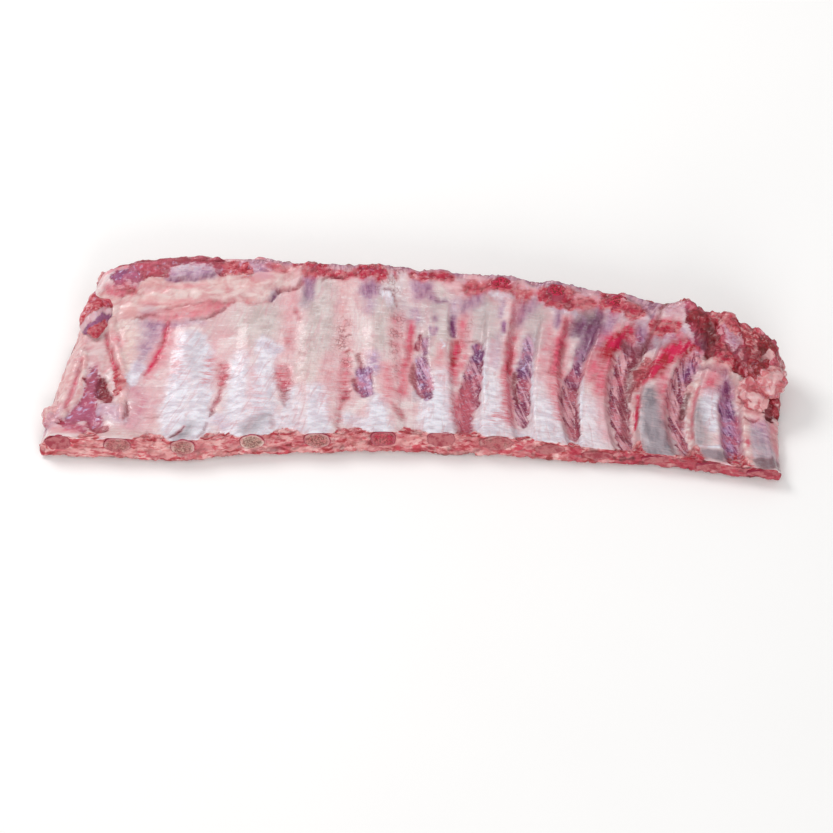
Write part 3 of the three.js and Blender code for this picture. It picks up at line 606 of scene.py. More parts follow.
def chine_rim_marks():
    """The dry mauve rim of the chine, and the purple pits under it, their purple partly painted shade."""
    mark([(3.8, 1), (5, 1), (6.5, 1), (8, 1), (9.5, 1), (10.8, 1)], [4, 5, 6, 7, 8, 8], 4, mauve=0.8,
         white=-1, crackle=0.8, glisten=0.3)
    mark([(8.2, 0.965), (8.8, 0.97), (9.6, 0.96), (10.3, 0.975), (10.6, 0.93)], [4, 4, 5, 6, 4], 4,
         mauve=0.9, white=-1)
    mark([(10.1, 0.985), (10.35, 0.96), (10.55, 0.92)], [1, 1.5, 1], 1.5, -1.2, purple=0.7, deep=0.4)
    mark([(3.9, 0.96), (4.1, 0.94)], [7, 6], 4, lilac=0.6, pink=0.6)
    mark([(4.8, 0.925), (4.85, 0.895), (4.87, 0.865)], [4, 6, 5], 3, -2.2, purple=0.5, lilac=0.7,
         pink=0.5)
    mark([(4.95, 0.95), (4.93, 0.92)], [2, 3], 2.5, -1, purple=0.5, pink=0.5)
    mark([(5.8, 0.895), (5.92, 0.888)], 6, 3.5, -1.8, purple=0.6, lilac=0.6, pink=0.5)
    mark([(6.68, 0.91), (6.85, 0.9)], [7, 5], 5, -1.8, purple=0.5, lilac=0.7, pink=0.4)
    # The next three darken the hollows between the rib heads with painted shade in purple and mauve.
    mark([(7.42, 0.86), (7.5, 0.885), (7.62, 0.9)], [4, 5, 5], 5, -1.6, purple=0.5, lilac=0.6, mauve=0.4)
    mark([(8.38, 0.83), (8.44, 0.875), (8.58, 0.89)], [4, 5, 4], 5, -1.6, purple=0.55, lilac=0.5,
         mauve=0.4)
    mark([(9.45, 0.82), (9.55, 0.86), (9.72, 0.875)], [6, 8, 6], 6, -1.8, purple=0.9, lilac=0.5, blue=0.5,
         deep=0.4)
    mark([(10.4, 0.855), (10.5, 0.86)], 4, 4, -0.6, purple=0.6, lilac=0.8)


# Red marrow in the chine bevel: each path, its half width in mm and how strong the red is.
CHINE_REDS = (
    ([(4.15, 0.97), (4.45, 0.96)], 4, 0.35),
    ([(4.65, 0.99), (4.85, 1)], 4, 0.8),
    ([(4.95, 0.99), (5.1, 1)], 4, 1),
    ([(4.8, 0.955), (5.15, 0.955), (5.45, 0.945)], 4, 0.7),
    ([(5.55, 0.955), (5.7, 0.965)], 4, 0.7),
    ([(5.78, 0.97), (5.95, 0.975), (6.08, 0.95)], 7, 1),
    ([(6.6, 0.97), (6.75, 0.965)], 5, 0.55),
    ([(6.8, 0.97), (7, 0.965), (7.2, 0.965)], 3.5, 1),
    ([(7.45, 0.925), (7.6, 0.94), (7.75, 0.945)], 5, 0.75),
    ([(7.85, 0.95), (8.1, 0.925)], 6, 0.9),
    ([(8.3, 0.925), (8.5, 0.925)], 4, 0.6),
    ([(8.75, 0.93), (8.95, 0.92)], 7, 1),
    ([(9.15, 0.91), (9.25, 0.9)], 5, 1),
    ([(9.05, 0.955), (9.25, 0.95)], 3, 0.8),
    ([(9.4, 0.92), (9.6, 0.925)], 5, 0.8),
    ([(9.75, 0.99), (9.95, 0.995)], 6, 0.75),
    ([(9.8, 0.94), (10, 0.925), (10.35, 0.93)], 6, 0.95),
    ([(10.6, 0.885), (10.95, 0.895)], 5, 0.7),
)


def chine_red_marks():
    """Red marrow, dark pits in it, and a pale ring round each sawn head in the chine bevel."""
    for path, half, strength in CHINE_REDS:
        mark(path, 0.85 * half, 3, -0.9, cut=0.3 + 0.7 * strength, blood=0.25 + 0.75 * strength, pink=0.7,
             mauve=-0.8)
    for rib in SHOWN_HEADS:
        mark([(rib - 0.2, 0.94), (rib - 0.1, 0.915), (rib + 0.1, 0.915), (rib + 0.2, 0.94)], 4, 5, 2.6,
             pink=0.8, cream=0.6, blood=0.15)
    mark([(8.85, 0.915), (9.12, 0.905)], [6, 5], 3, -1.4, cut=1, blood=1)
    mark([(8.85, 0.93), (8.95, 0.918)], [4, 3], 3, deep=0.7)
    mark([(9.2, 0.91), (9.22, 0.895)], [2.5, 2], 2, -1.2, deep=0.45)
    mark([(9.83, 0.94), (9.9, 0.935)], 2, 2, -0.8, deep=0.4)
    mark([(6.86, 0.98), (6.92, 0.97)], 2, 2, -0.6, deep=0.35)


def chine_gristle_marks():
    """White gristle and pink fat in the chine bevel, and the cleft at its neck end, darkened with painted
    shade.
    """
    mark([(7.8, 0.91), (8, 0.895), (8.2, 0.905)], [1.5, 2.5, 2], 2, 1.6, white=1, cream=0.5, lilac=-0.7)
    mark([(8.72, 0.9), (8.95, 0.882), (9.2, 0.875), (9.4, 0.885)], [1.5, 3, 3, 1.5], 2, 2, white=1,
         cream=0.8, lilac=-0.8)
    mark([(8.3, 0.955), (8.45, 0.935), (8.55, 0.91)], [1, 1.5, 1], 1.6, 0.6, white=0.9)
    mark([(5.88, 0.975), (5.93, 0.965)], [1, 1.5], 1.4, 0.5, white=1)
    mark([(9.9, 0.9), (10.2, 0.885), (10.45, 0.895), (10.58, 0.905)], [2, 3, 5, 4], 2.5, 2.2, white=0.7,
         cream=0.8, pink=0.3)
    mark([(10.6, 0.99), (10.64, 0.94), (10.62, 0.88), (10.55, 0.83)], [0.8, 1.2, 1.2, 2], 3, -2.4,
         deep=0.3, brown=0.5, blood=0.4)
    mark([(10.75, 0.975), (10.95, 0.97)], 6, 4, 0.6, fat=0.6, lilac=0.6, pink=0.5, mauve=-1)
    for line, v, size in ((7.3, 0.925, 5), (7.6, 0.965, 4), (8.42, 0.955, 5), (9.3, 0.955, 4),
                          (9.5, 0.895, 4), (9.7, 0.95, 4), (10.15, 0.965, 4)):
        mark([(line - 0.12, v + 0.01), (line + 0.12, v - 0.01)], size, 3, 1.4, fat=0.8, pink=0.8,
             lilac=0.3, mauve=-1, purple=-1)
    # Painted shade, dark and purple, in the trough below the cleft.
    mark([(10.62, 0.82), (10.5, 0.79), (10.38, 0.775), (10.3, 0.8)], [4, 6, 6, 4], 4, -2.2, brown=0.7,
         deep=0.3, muscle=0.6, purple=0.6)
    mark([(10.28, 0.84), (10.36, 0.825)], 4, 2.5, 0.8, blood=0.75, cut=0.5, brown=-0.8, deep=-1)


def neck_marks():
    """The neck end: dark grained lean, lumps of fat, and a rope of fat at the foot of the lean."""
    mark([(11.25, 0.97), (11.9, 0.94), (12.6, 0.9), (13.2, 0.86), (13.7, 0.8)], [15, 20, 22, 20, 16], 3,
         lean=1, white=-1, lilac=-1, mauve=-1, pink=-0.5)
    mark([(11.35, 0.95), (11.5, 0.9), (11.7, 0.86)], [8, 7, 6], 4, lean=1, brown=0.35)
    mark([(11.55, 0.93), (11.62, 0.87), (11.75, 0.82)], [3, 6, 5], 4, -3, deep=0.55, lean=1, blood=0.6)
    mark([(11.9, 0.94), (12.1, 0.9), (12.25, 0.87)], [5, 7, 5], 2.5, 1.4, lilac=0.75, lean=-0.6, pink=0.6,
         fat=0.3)
    mark([(11.78, 0.9), (11.95, 0.87), (12.05, 0.83)], [1.5, 1.5, 1], 2, 0.8, fat=1, pink=0.7)
    mark([(11.8, 0.83), (12, 0.81), (12.25, 0.79)], [4, 6, 4], 2.5, -0.8, cut=1, blood=0.9)
    mark([(11.95, 0.96), (12.2, 0.935)], [5, 4], 2.5, 0.8, cut=0.9, blood=0.45)
    mark([(12.7, 0.88), (12.85, 0.86)], 4, 2.5, 0.8, cut=0.9, blood=0.5)
    mark([(12.45, 0.86), (12.6, 0.82)], 3, 2.5, 0.8, fat=0.8, pink=0.6, lean=-0.6)
    mark([(11.55, 0.99), (11.8, 0.975), (12, 0.965)], [5, 6, 5], 3, 1, blood=0.5, cut=0.9, lean=-0.5)
    mark([(11.75, 0.94), (11.85, 0.965)], [2.5, 2], 2, 0.8, fat=1, pink=0.4, lean=-0.6)
    mark([(12.2, 0.99), (12.5, 0.96), (12.6, 0.91)], [5, 7, 6], 3, cut=0.6, lean=0.6)
    mark([(12.6, 0.84), (12.9, 0.86), (13.05, 0.8)], [7, 9, 7], 4, -1.2, lean=1, deep=0.35)
    mark([(13.2, 0.86), (13.5, 0.82), (13.6, 0.75)], [6, 9, 8], 3, 1.6, fat=1, pink=0.8, lean=-0.8)
    mark([(13.75, 0.86), (13.85, 0.8)], 5, 3, 0.8, lean=0.9, mauve=0.4)
    mark([(10.98, 0.88), (11.2, 0.855), (11.4, 0.82), (11.5, 0.79)], [2, 2.5, 2.5, 2], 1.8, 2.2, fat=1,
         cream=0.4, lean=-1)
    mark([(11.45, 0.8), (11.8, 0.775), (12.1, 0.76), (12.4, 0.735), (12.55, 0.7)], [2.5, 3, 3, 3, 3], 2,
         2.6, fat=1, cream=0.5, lean=-1, purple=-1)
    mark([(11.5, 0.765), (11.8, 0.745), (12.2, 0.73)], 1, 2, -1.4, brown=0.5, purple=0.4)
    mark([(12.5, 0.68), (12.75, 0.62), (12.8, 0.5)], [6, 9, 6], 3, 2.4, fat=1, pink=0.6, purple=-1)
    mark([(12.95, 0.72), (13.05, 0.6), (13.1, 0.47)], [7, 9, 6], 3, 2, fat=1, pink=0.85)
    mark([(12.65, 0.57), (12.85, 0.55)], [0.8, 1], 1.5, -1.4, brown=0.6, blood=0.4)
    mark([(12.75, 0.44), (13, 0.42), (13.15, 0.45)], [0.8, 1, 0.8], 1.5, -1.4, brown=0.7, blood=0.3)
    mark([(13.35, 0.7), (13.5, 0.6), (13.55, 0.52)], [6, 6, 4], 2.5, -1.2, lean=1, deep=0.5, blood=0.4,
         fat=-0.8)
    mark([(13.75, 0.7), (13.9, 0.62)], 4, 3, lean=0.9, blood=0.5)
    mark([(13.85, 0.5), (13.9, 0.25)], 3, 3, 0.6, fat=0.8, blood=0.3, pink=0.6)


# Later marks lie over the ones before them.
for add_marks in (
    membrane_marks, neck_bone_marks, loin_stain_marks, neck_stain_marks, thin_membrane_marks,
    window_marks, neck_window_marks, loin_torn_marks, neck_torn_marks, loin_marks, sheet_marks,
    strip_marks, chine_rim_marks, chine_red_marks, chine_gristle_marks, neck_marks,
):
    add_marks()


def beyond(x, y, path, half, fade, fray):
    """How far points lie beyond the half width of a path, in mm, with a frayed edge."""
    px, py = plan(path[:, 0], path[:, 1])
    half = np.broadcast_to(np.asarray(half, float), px.shape)
    edge = np.full(x.shape, FAR_OFF)
    furthest = np.ptp(px) + np.ptp(py) + half.max() + 2 * fade + 8
    near = np.hypot(x - px.mean(), y - py.mean()) < furthest
    sx, sy = x[near], y[near]
    reach = np.full(sx.shape, FAR_OFF)
    for i in range(len(px) - 1):
        dx, dy = px[i + 1] - px[i], py[i + 1] - py[i]
        t = np.clip(((sx - px[i]) * dx + (sy - py[i]) * dy) / (dx * dx + dy * dy + TINY), 0, 1)
        away = np.hypot(sx - px[i] - t * dx, sy - py[i] - t * dy) - lerp(half[i], half[i + 1], t)
        reach = np.minimum(reach, away)
    edge[near] = reach + fray[near] * min(4.0, 0.8 + 0.35 * half.max())
    return edge


# Pigments that lie on the surface with an edge; the others soak in and fade out slowly.
EDGED = ("muscle", "fat", "lean", "cut", "brown", "deep", "white", "glisten")


def paint(x, y):
    """The pigments' strengths and the lift at points of the bone side, from the marks."""
    wander_x = x + 2.2 * layered(x / 11, y / 11, 0.5, 3, 71)
    wander_y = y + 2.8 * layered(x / 11, y / 11, 7.5, 3, 72)
    frays = [layered(x / 8 + 3.3 * k, y / 3.6, 9.1 * k, 4, 80 + k) for k in range(5)]
    pigments = {name: np.zeros(x.shape) for name in PIGMENTS}
    lift = np.zeros(x.shape)
    for number, (path, half, fade, height, paints) in enumerate(MARKS):
        edge = beyond(wander_x, wander_y, path, half, fade, frays[number % len(frays)])
        crisp = 1 - smoothstep(edge, -0.6 * fade, 0.9 * fade)
        soft = 1 - smoothstep(edge, -0.8 * fade - 0.45 * np.max(half), 1.2 * fade + 1)
        lift += height * crisp
        for name, strength in paints.items():
            value = crisp if name in EDGED else soft
            if strength > 0:
                pigments[name] = 1 - (1 - pigments[name]) * (1 - min(strength, 1) * value)
            else:
                pigments[name] *= 1 + strength * value
    return pigments, lift


def at_least(pigments, name, strength):
    """Raises a pigment to a strength where it is weaker."""
    pigments[name] = np.maximum(pigments[name], strength)


def section_rows():
    """Points round a section: which face each is on, its share across and its share up that face."""
    rows = [("sawn", 0.0, (k + 0.5) / SAWN_POINTS) for k in range(SAWN_POINTS)]
    rows += [("top", k / TOP_POINTS, 0.0) for k in range(TOP_POINTS + 1)]
    rows += [("wall", 1.0, (k + 1) / (WALL_POINTS + 1)) for k in range(WALL_POINTS)]
    rows += [("under", 1 - (k + 0.5) / UNDER_POINTS, 0.0) for k in range(UNDER_POINTS)]
    return rows


def rack_columns():
    """Line numbers of the rings, evenly spaced along the middle of the rack."""
    fine = np.linspace(0, LAST, MIDDLE_SAMPLES)
    x, y = plan(fine, 0.5)
    run = np.concatenate([[0], np.cumsum(np.hypot(np.diff(x), np.diff(y)))])
    count = int(run[-1] / ALONG_STEP)
    return np.interp(np.linspace(0, run[-1], count), run, fine), run[-1]


def grid_normals(points):
    """Outward normals of a grid of points (along, round), closed round."""
    along = np.gradient(points, axis=0)
    ring = np.roll(points, -1, axis=1) - np.roll(points, 1, axis=1)
    normal = np.cross(along, ring)
    return normal / (np.linalg.norm(normal, axis=2, keepdims=True) + TINY)


def near_bone_end(x, z, lip):
    """1 over a rib's sawn end on the sawn face, 0 away from it."""
    value = np.zeros(x.shape)
    for rib in range(1, RIBS + 1):
        centre = plan(rib, 0.0)[0]
        half = END_BROADER * bone_half_width(rib, 0.0) + 0.5
        tall = 0.5 * BONE_THICK * end_thicker(rib) + 0.5
        away = np.hypot((x - centre) / half, (z - lip + BONE_DEPTHS[0]) / tall)
        away = away + 0.12 * layered(x / 4, z / 4, 0.5, 2, 16)
        value = np.maximum(value, 1 - smoothstep(away, 0.92, 1.18))
    return value


def hanging(x):
    """How far shreds of meat hang below the sawn face, in mm: it goes up and down along the rack."""
    return 3.8 * layered(x / 14, 0.5, 0.5, 3, 14) - 1.2


def body_shape():
    """The body's skin in mm as a grid, with its faces, pigments and pattern coordinates."""
    rows = section_rows()
    face = np.array([r[0] for r in rows])
    columns, length = rack_columns()
    u = columns[:, None]
    shape = (len(columns), len(rows))
    uu = np.broadcast_to(u, shape)
    vv = np.broadcast_to(np.array([r[1] for r in rows])[None, :], shape)
    up = np.broadcast_to(np.array([r[2] for r in rows])[None, :], shape)
    x, y = (a.copy() for a in plan(uu, vv))
    z = top_height(uu, vv)
    lip = top_height(u, np.zeros_like(u))
    rim = top_height(u, np.ones_like(u))
    foot = under_height(np.array(1.0))

    sawn = face == "sawn"
    s = up[:, sawn]
    y[:, sawn] -= sawn_lean(u) * (1 - s)
    z[:, sawn] = lerp(under_height(np.array(0.0)), lip, s)
    z[:, sawn] += hanging(x[:, sawn]) * (1 - s) ** 2
    wall = face == "wall"
    s = up[:, wall]
    bulge = 5 * (1 + 0.4 * lumps(x[:, wall] * 1.7, 40.0))
    y[:, wall] += bulge * np.sin(np.pi * np.clip(s * 1.2, 0, 1)) ** 0.8 - 4 * s ** 3
    z[:, wall] = lerp(rim, foot, s)
    under = face == "under"
    z[:, under] = under_height(vv[:, under])
    z[:, under] += hanging(x[:, under]) * (1 - smoothstep(vv[:, under], 0, 0.06))

    top = np.broadcast_to(face == "top", shape)
    pigments = {name: np.zeros(shape) for name in PIGMENTS}
    painted, lift = paint(x[top], y[top])
    for name in PIGMENTS:
        pigments[name][top] = painted[name]
    z[top] += lift * end_round(uu[top])
    on_bone = np.zeros(shape)
    on_bone[:, sawn] = near_bone_end(x[:, sawn], z[:, sawn], lip)
    along = np.broadcast_to(np.linspace(0, length, len(columns))[:, None], shape)
    across = vv * PATTERN_BREADTH
    leaning = lerp(0.5, 0.06, smoothstep(uu, 3.5, 7.0)) * across
    grain = np.stack([along - leaning, across, z], axis=2)
    masks = {name: np.broadcast_to(face == name, shape) for name in ("sawn", "top", "wall", "under")}
    return np.stack([x, y, z], axis=2), masks, uu, vv, pigments, grain, on_bone


def paint_sides(points, masks, uu, vv, pigments):
    """Pigments that the marks don't give: the sawn face, the chine wall, the underside, the rims."""
    x, y, z = points[..., 0], points[..., 1], points[..., 2]
    sawn, top, wall, under = (masks[k] for k in ("sawn", "top", "wall", "under"))
    tongues = -0.02 + 0.025 * layered(x / 6, 0.3, 0.5, 3, 8) + 0.06 * (1 - rib_share(uu, vv))
    lip = (1 - smoothstep(vv, tongues, tongues + 0.02)) * top
    below = top_height(uu, np.zeros_like(vv)) - z
    drape = 7.0 * layered(x / 12, 0.7, 0.5, 3, 9) * rib_share(uu, vv)
    bare = sawn * smoothstep(below, drape - 1, drape + 1)
    at_least(pigments, "cut", np.maximum(bare, lip))
    at_least(pigments, "white", 0.6 * sawn * (1 - bare))
    smear = smoothstep(layered(x / 13, z / 5, y / 7, 3, 12), -0.15, 0.3)
    fatty = 1 - 0.75 * smoothstep(uu, 8, 10)
    at_least(pigments, "fat", 0.9 * fatty * bare * smear)
    bruise = smoothstep(layered(x / 14, z / 8, y / 7, 3, 13), 0.05, 0.4)
    tuft = (1 - rib_share(uu, vv)) * smoothstep(uu, 6, 10)
    tuft = np.maximum(tuft, 0.9 * smoothstep(uu, 9.5, 11) * smoothstep(-bruise, -0.6, 0.1))
    at_least(pigments, "blood", bare * np.maximum(0.5 * bruise, 0.75 * tuft))
    at_least(pigments, "brown", 0.35 * bare * smoothstep(uu, 9.5, 11))
    # Painted shade in patches over the bare sawn face, for the hollows of its rough cut surface, more of it
    # towards the neck.
    shade_patches = smoothstep(layered(x / 9, z / 5, y / 7, 3, 15), 0.2, 0.42)
    shade_patches = shade_patches * lerp(0.5, 0.8, smoothstep(uu, 9, 11))
    at_least(pigments, "deep", bare * shade_patches)
    patches = layered(x / 18, y / 18, z / 10, 3, 5)
    for face, share in ((wall, 0.05), (under, -0.1)):
        pigments["lean"] = np.where(face, smoothstep(patches, share - 0.3, share), pigments["lean"])
        pigments["fat"] = np.where(face, smoothstep(-patches, -share, 0.3 - share), pigments["fat"])
    ends = np.maximum(1 - smoothstep(uu, 0.0, 0.35), smoothstep(uu, LAST - 0.12, LAST))
    border = ends * top * smoothstep(vv, 0.12, 0.2)
    at_least(pigments, "fat", border)
    rim = smoothstep(vv, 0.965, 0.99) * top
    at_least(pigments, "pink", 0.7 * rim)
    for name in ("white", "grey"):
        pigments[name] = pigments[name] * (1 - lip)


def relief(points, masks, pigments, normals, on_bone):
    """Small relief along the normals, with each lobe's tone, painted shade in the creases between clods,
    and the fat's folds reddened.
    """
    x, y, z = points[..., 0], points[..., 1], points[..., 2]
    grit = layered(x / 3.2, y / 3.2, z / 3.2, 2, 31)
    swell = layered(x / 9, y / 9, z / 9, 3, 41)
    bend = layered(x / 16, y / 16, z / 16, 2, 20)
    lobes = np.abs(layered(x / 36 + 0.3 * bend, y / 12 + 0.35 * bend, z / 12, 2, 21))
    lobe_tone = 0.5 + 0.8 * layered(x / 20, y / 9, z / 9, 2, 25)
    clods, clod_tone = cells(x / 17 + 0.7 * swell, y / 13 + 0.6 * swell, z / 13, 22)
    clots, clot_tone = cells(x / 10 + 0.7 * swell, y / 8 + 0.5 * swell, z / 8, 23)
    ripple = layered(x / 11, y / 5, z / 9, 3, 61)
    rolls = layered(x / 30, y / 11, z / 18, 2, 27)
    fat, cut = pigments["fat"], pigments["cut"]
    lean = pigments["lean"] * (1 - 0.8 * pigments["glisten"])
    out = fat * (1.3 * (smoothstep(lobes, 0, 0.35) - 0.7) + 1.4 * rolls + 0.2 * swell + 0.08 * grit)
    out += lean * (3.6 * (smoothstep(clods, 0, 0.8) - 0.5) + 1.6 * swell + 0.25 * grit)
    rugged = 1.3 + 0.9 * masks["top"]
    out += cut * (rugged * (smoothstep(clots, 0, 0.6) - 0.5) + 1.5 * swell + 0.3 * grit)
    out += pigments["glisten"] * 0.7 * grit + pigments["crackle"] * (0.6 * grit + 0.5 * swell)
    out += pigments["blood"] * 0.35 * grit + pigments["mauve"] * (0.8 * grit + 1.2 * swell)
    skin = 1 - np.clip(fat + lean + cut, 0, 1)
    out += skin * (0.45 * ripple + 0.3 * swell)
    out = np.where(masks["under"], 0.3 * out - 0.4, out)
    out = lerp(out, -1.2, on_bone)
    tone = lerp(lerp(lobe_tone, clod_tone, lean), clot_tone, cut)
    pigments["tone"] = np.clip(tone + 0.25 * swell, 0, 1)
    # Painted shade in the creases between clods of lean and clots of cut meat.
    crumbled = lerp(0.4, 0.9, masks["top"]) * cut
    crease = lean * (1 - smoothstep(clods, 0.0, 0.16)) + crumbled * (1 - smoothstep(clots, 0.0, 0.16))
    at_least(pigments, "deep", 0.6 * np.clip(crease, 0, 1) * (1 - on_bone))
    rosy = 0.22 * fat * (1 - smoothstep(lobes, 0.0, 0.1)) * (1 - lean) * (1 - cut)
    at_least(pigments, "blood", rosy)
    return points + normals * out[..., None]


def section_middles(points):
    """The points of the sections drawn in to their middles, where an end's cap closes."""
    rows = section_rows()
    middle = points.copy()
    for index, (face, v, _) in enumerate(rows):
        if face in ("top", "under"):
            other = "under" if face == "top" else "top"
            facing = [k for k, row in enumerate(rows) if row[0] == other]
            partner = min(facing, key=lambda k: abs(rows[k][1] - v))
            middle[:, index, 2] = 0.5 * (points[:, index, 2] + points[:, partner, 2])
        else:
            same = [k for k, row in enumerate(rows) if row[0] == face]
            middle[:, index, 2] = points[:, same, 2].mean(axis=1)
            middle[:, index, 1] += CAP_INSET if face == "sawn" else -CAP_INSET
    return middle


def end_caps(points, grain, pigments):
    """Adds rings that round the two ends off, and gives the larger grids."""
    middle = section_middles(points)
    caps = []
    for ring, outward in ((0, -1.0), (-1, 1.0)):
        edges, places = [], []
        for k in range(1, END_RINGS + 1):
            turn = END_TURN * k / END_RINGS
            edge = lerp(middle[ring], points[ring], math.cos(turn))
            edge[:, 0] += outward * END_BULGE * math.sin(turn)
            edge[:, 0] += outward * 0.7 * layered(edge[:, 1] / 5, edge[:, 2] / 4, 0.2 + 0.3 * k, 2, 90)
            edges.append(edge)
            places.append(grain[ring] + np.array([outward * 1.2 * k, 0, 0]))
        caps.append((edges, places))
    (loin_edges, loin_places), (neck_edges, neck_places) = caps
    grids = np.concatenate([loin_edges[::-1], points, neck_edges])
    grains = np.concatenate([loin_places[::-1], grain, neck_places])
    carried = {name: np.pad(value, ((END_RINGS, END_RINGS), (0, 0)), mode="edge")
               for name, value in pigments.items()}
    return grids, grains, carried


def mesh_piece(name, points, faces, attributes):
    """A mesh object from points in the lines' mm, moved into the frame."""
    shifted = (points - MIDDLE) * MM
    mesh = bpy.data.meshes.new(name)
    mesh.from_pydata(shifted.tolist(), [], faces)
    mesh.update()
    for key, value in attributes.items():
        kind, field = ("FLOAT_VECTOR", "vector") if value.ndim == 2 else ("FLOAT", "value")
        made = mesh.attributes.new(key, kind, "POINT")
        made.data.foreach_set(field, value.astype(np.float32).ravel())
    mesh.polygons.foreach_set("use_smooth", [True] * len(mesh.polygons))
    piece = bpy.data.objects.new(name, mesh)
    bpy.context.scene.collection.objects.link(piece)
    return piece


def tube_quads(rings, around):
    """Quads between rings of points that are closed round."""
    i = np.arange(rings - 1)[:, None] * around
    j = np.arange(around)[None, :]
    k = (j + 1) % around
    return np.stack([i + j, i + around + j, i + around + k, i + k], axis=2).reshape(-1, 4).tolist()


def tube_faces(rings, around):
    """Quads of rings of points, with both ends closed by one face."""
    ends = [list(range(around)), list(range((rings - 1) * around, rings * around))[::-1]]
    return tube_quads(rings, around) + ends


def end_strip():
    """Triangles that sew the bone side of an end ring to its underside."""
    rows = section_rows()
    over = list(range(SAWN_POINTS, SAWN_POINTS + TOP_POINTS + 1))
    below = list(range(SAWN_POINTS))[::-1] + list(range(SAWN_POINTS + TOP_POINTS + 1, len(rows)))[::-1]
    faces = []
    i = j = 0
    while i < len(over) - 1 or j < len(below) - 1:
        over_next = rows[over[i + 1]][1] if i < len(over) - 1 else 2
        below_next = rows[below[j + 1]][1] if j < len(below) - 1 else 2
        if over_next <= below_next:
            faces.append([over[i], over[i + 1], below[j]])
            i += 1
        else:
            faces.append([over[i], below[j + 1], below[j]])
            j += 1
    return faces


def rack_body():
    """The rack of meat, fat and membrane as one closed skin."""
    points, masks, uu, vv, pigments, grain, on_bone = body_shape()
    paint_sides(points, masks, uu, vv, pigments)
    points = relief(points, masks, pigments, grid_normals(points), on_bone)
    points, grain, pigments = end_caps(points, grain, pigments)
    points[..., 2] = np.maximum(points[..., 2], 0.0)
    attributes = {name: value.reshape(-1) for name, value in pigments.items()}
    attributes["grain"] = grain.reshape(-1, 3)
    rings, around = points.shape[:2]
    last = (rings - 1) * around
    faces = tube_quads(rings, around) + end_strip()
    faces += [[last + index for index in face[::-1]] for face in end_strip()]
    return mesh_piece("rack_body", points.reshape(-1, 3), faces, attributes)


# Lumps trimmed loosely from the loin end, the rim and the neck end: the middle and the radii in
# mm, the turn in degrees, how rugged it is, whether the marks of the bone side paint it too, and
# bands of tissue along the lump from -1 to 1.
LUMPS = {
    "lean_knob": ([-318, 54, 30], [15, 28, 15], -16, 0.35, False, (
        (-1.6, -0.86, dict(blood=0.6, cut=1.0)), (-0.86, -0.62, dict(purple=0.6, lilac=0.6, lean=0.8)),
        (-0.62, -0.28, dict(fat=1.0, lilac=0.6, pink=0.2)),
        (-0.28, 1.6, dict(blood=0.4, cut=1.0, glisten=0.3)))),
    "border_fat": ([-360, -64, 15], [13, 17, 10], -14, 1, False, (
        (-1.3, 0.1, dict(fat=0.7, lilac=0.5, pink=0.8)), (0.1, 1.3, dict(fat=1.0, pink=0.4)))),
    "corner_fat": ([-311, 86, 34], [8, 14, 13], -10, 0.8, False, (
        (-1.3, 0.3, dict(fat=1.0, pink=0.5)), (0.3, 1.3, dict(fat=0.7, cut=0.6, blood=0.3)))),
    "corner_lean": ([-288, 86, 40], [17, 13, 12], 10, 0.7, True, ((-1.3, 1.3, dict(lean=0.4, pink=0.8)),)),
    "lean_strip": ([-232, 99, 43], [64, 12, 12], 1, 0.7, True, ((-1.3, 1.3, dict(lean=0.9, pink=0.5)),)),
    "strip_end": ([-150, 100, 44], [26, 9, 10], -4, 0.8, True, ((-1.3, 1.3, dict(fat=0.6, pink=0.8)),)),
    "neck_nub": ([271, 46, 54], [8, 9, 9], 20, 1, False, (
        (-1.3, 1.3, dict(cut=0.9, lean=0.4, blood=0.3)),)),
    "neck_corner": ([350, -26, 34], [21, 24, 19], 8, 1.2, False, (
        (-1.3, -0.45, dict(fat=0.9, pink=0.6)), (-0.45, -0.1, dict(fat=0.6, cut=0.7)),
        (-0.1, 1.3, dict(lean=1.0, cut=0.3)))),
    "neck_fat": ([338, -44, 28], [15, 20, 14], 25, 1.1, False, ((-1.3, 1.3, dict(fat=1.0, pink=0.5)),)),
}
LUMP_AROUND = 96
LUMP_ALONG = 56
# The pigments that a painted lump takes from the marks of the bone side.
TAKEN_FROM_MARKS = ("lean", "lilac", "purple", "blood", "cut", "pink", "white", "deep", "glisten")


def lump_unit(long_way):
    """Directions of a lump's points, in rings along x when it lies the long way, else along y."""
    around = np.linspace(0, 2 * np.pi, LUMP_AROUND, endpoint=False)[None, :]
    along = np.linspace(0.05, math.pi - 0.05, LUMP_ALONG)[:, None]
    pole = np.cos(along) * np.ones_like(around)
    first = np.sin(along) * np.cos(around)
    second = np.sin(along) * np.sin(around)
    return np.stack([pole, first, second] if long_way else [first, pole, -second], axis=2)


def lump_form(unit, centre, radii, turn, rugged):
    """A lump's points, with its folds, its clods and each clod's tone."""
    swell = 1 + 0.12 * np.sin(5 * unit[..., 0] + 2 * unit[..., 2] + centre[0]) \
        * np.cos(4 * unit[..., 1] - 3 * unit[..., 2])
    points = unit * swell[..., None] * np.array(radii)
    x, y, z = (points[..., k] + centre[k] for k in range(3))
    folds = layered(x / 6, y / 6, z / 6, 3, 43)
    bends = layered(x / 10, y / 10, z / 10, 2, 45)
    clods, tone = cells(x / 19 + 0.7 * bends, y / 11 - 0.7 * bends, z / 11 + 0.3 * folds, 24)
    out = 3.0 * (smoothstep(clods, 0, 0.9) - 0.5) + 1.5 * bends + 0.7 * folds
    points = points + unit * (rugged * out)[..., None]
    cos, sin = math.cos(math.radians(turn)), math.sin(math.radians(turn))
    spin = np.array([[cos, -sin, 0], [sin, cos, 0], [0, 0, 1]])
    points = points @ spin.T + np.array(centre, float)
    points[..., 2] = np.maximum(points[..., 2], 0.3)
    return points, (x, y, z), folds, clods, tone


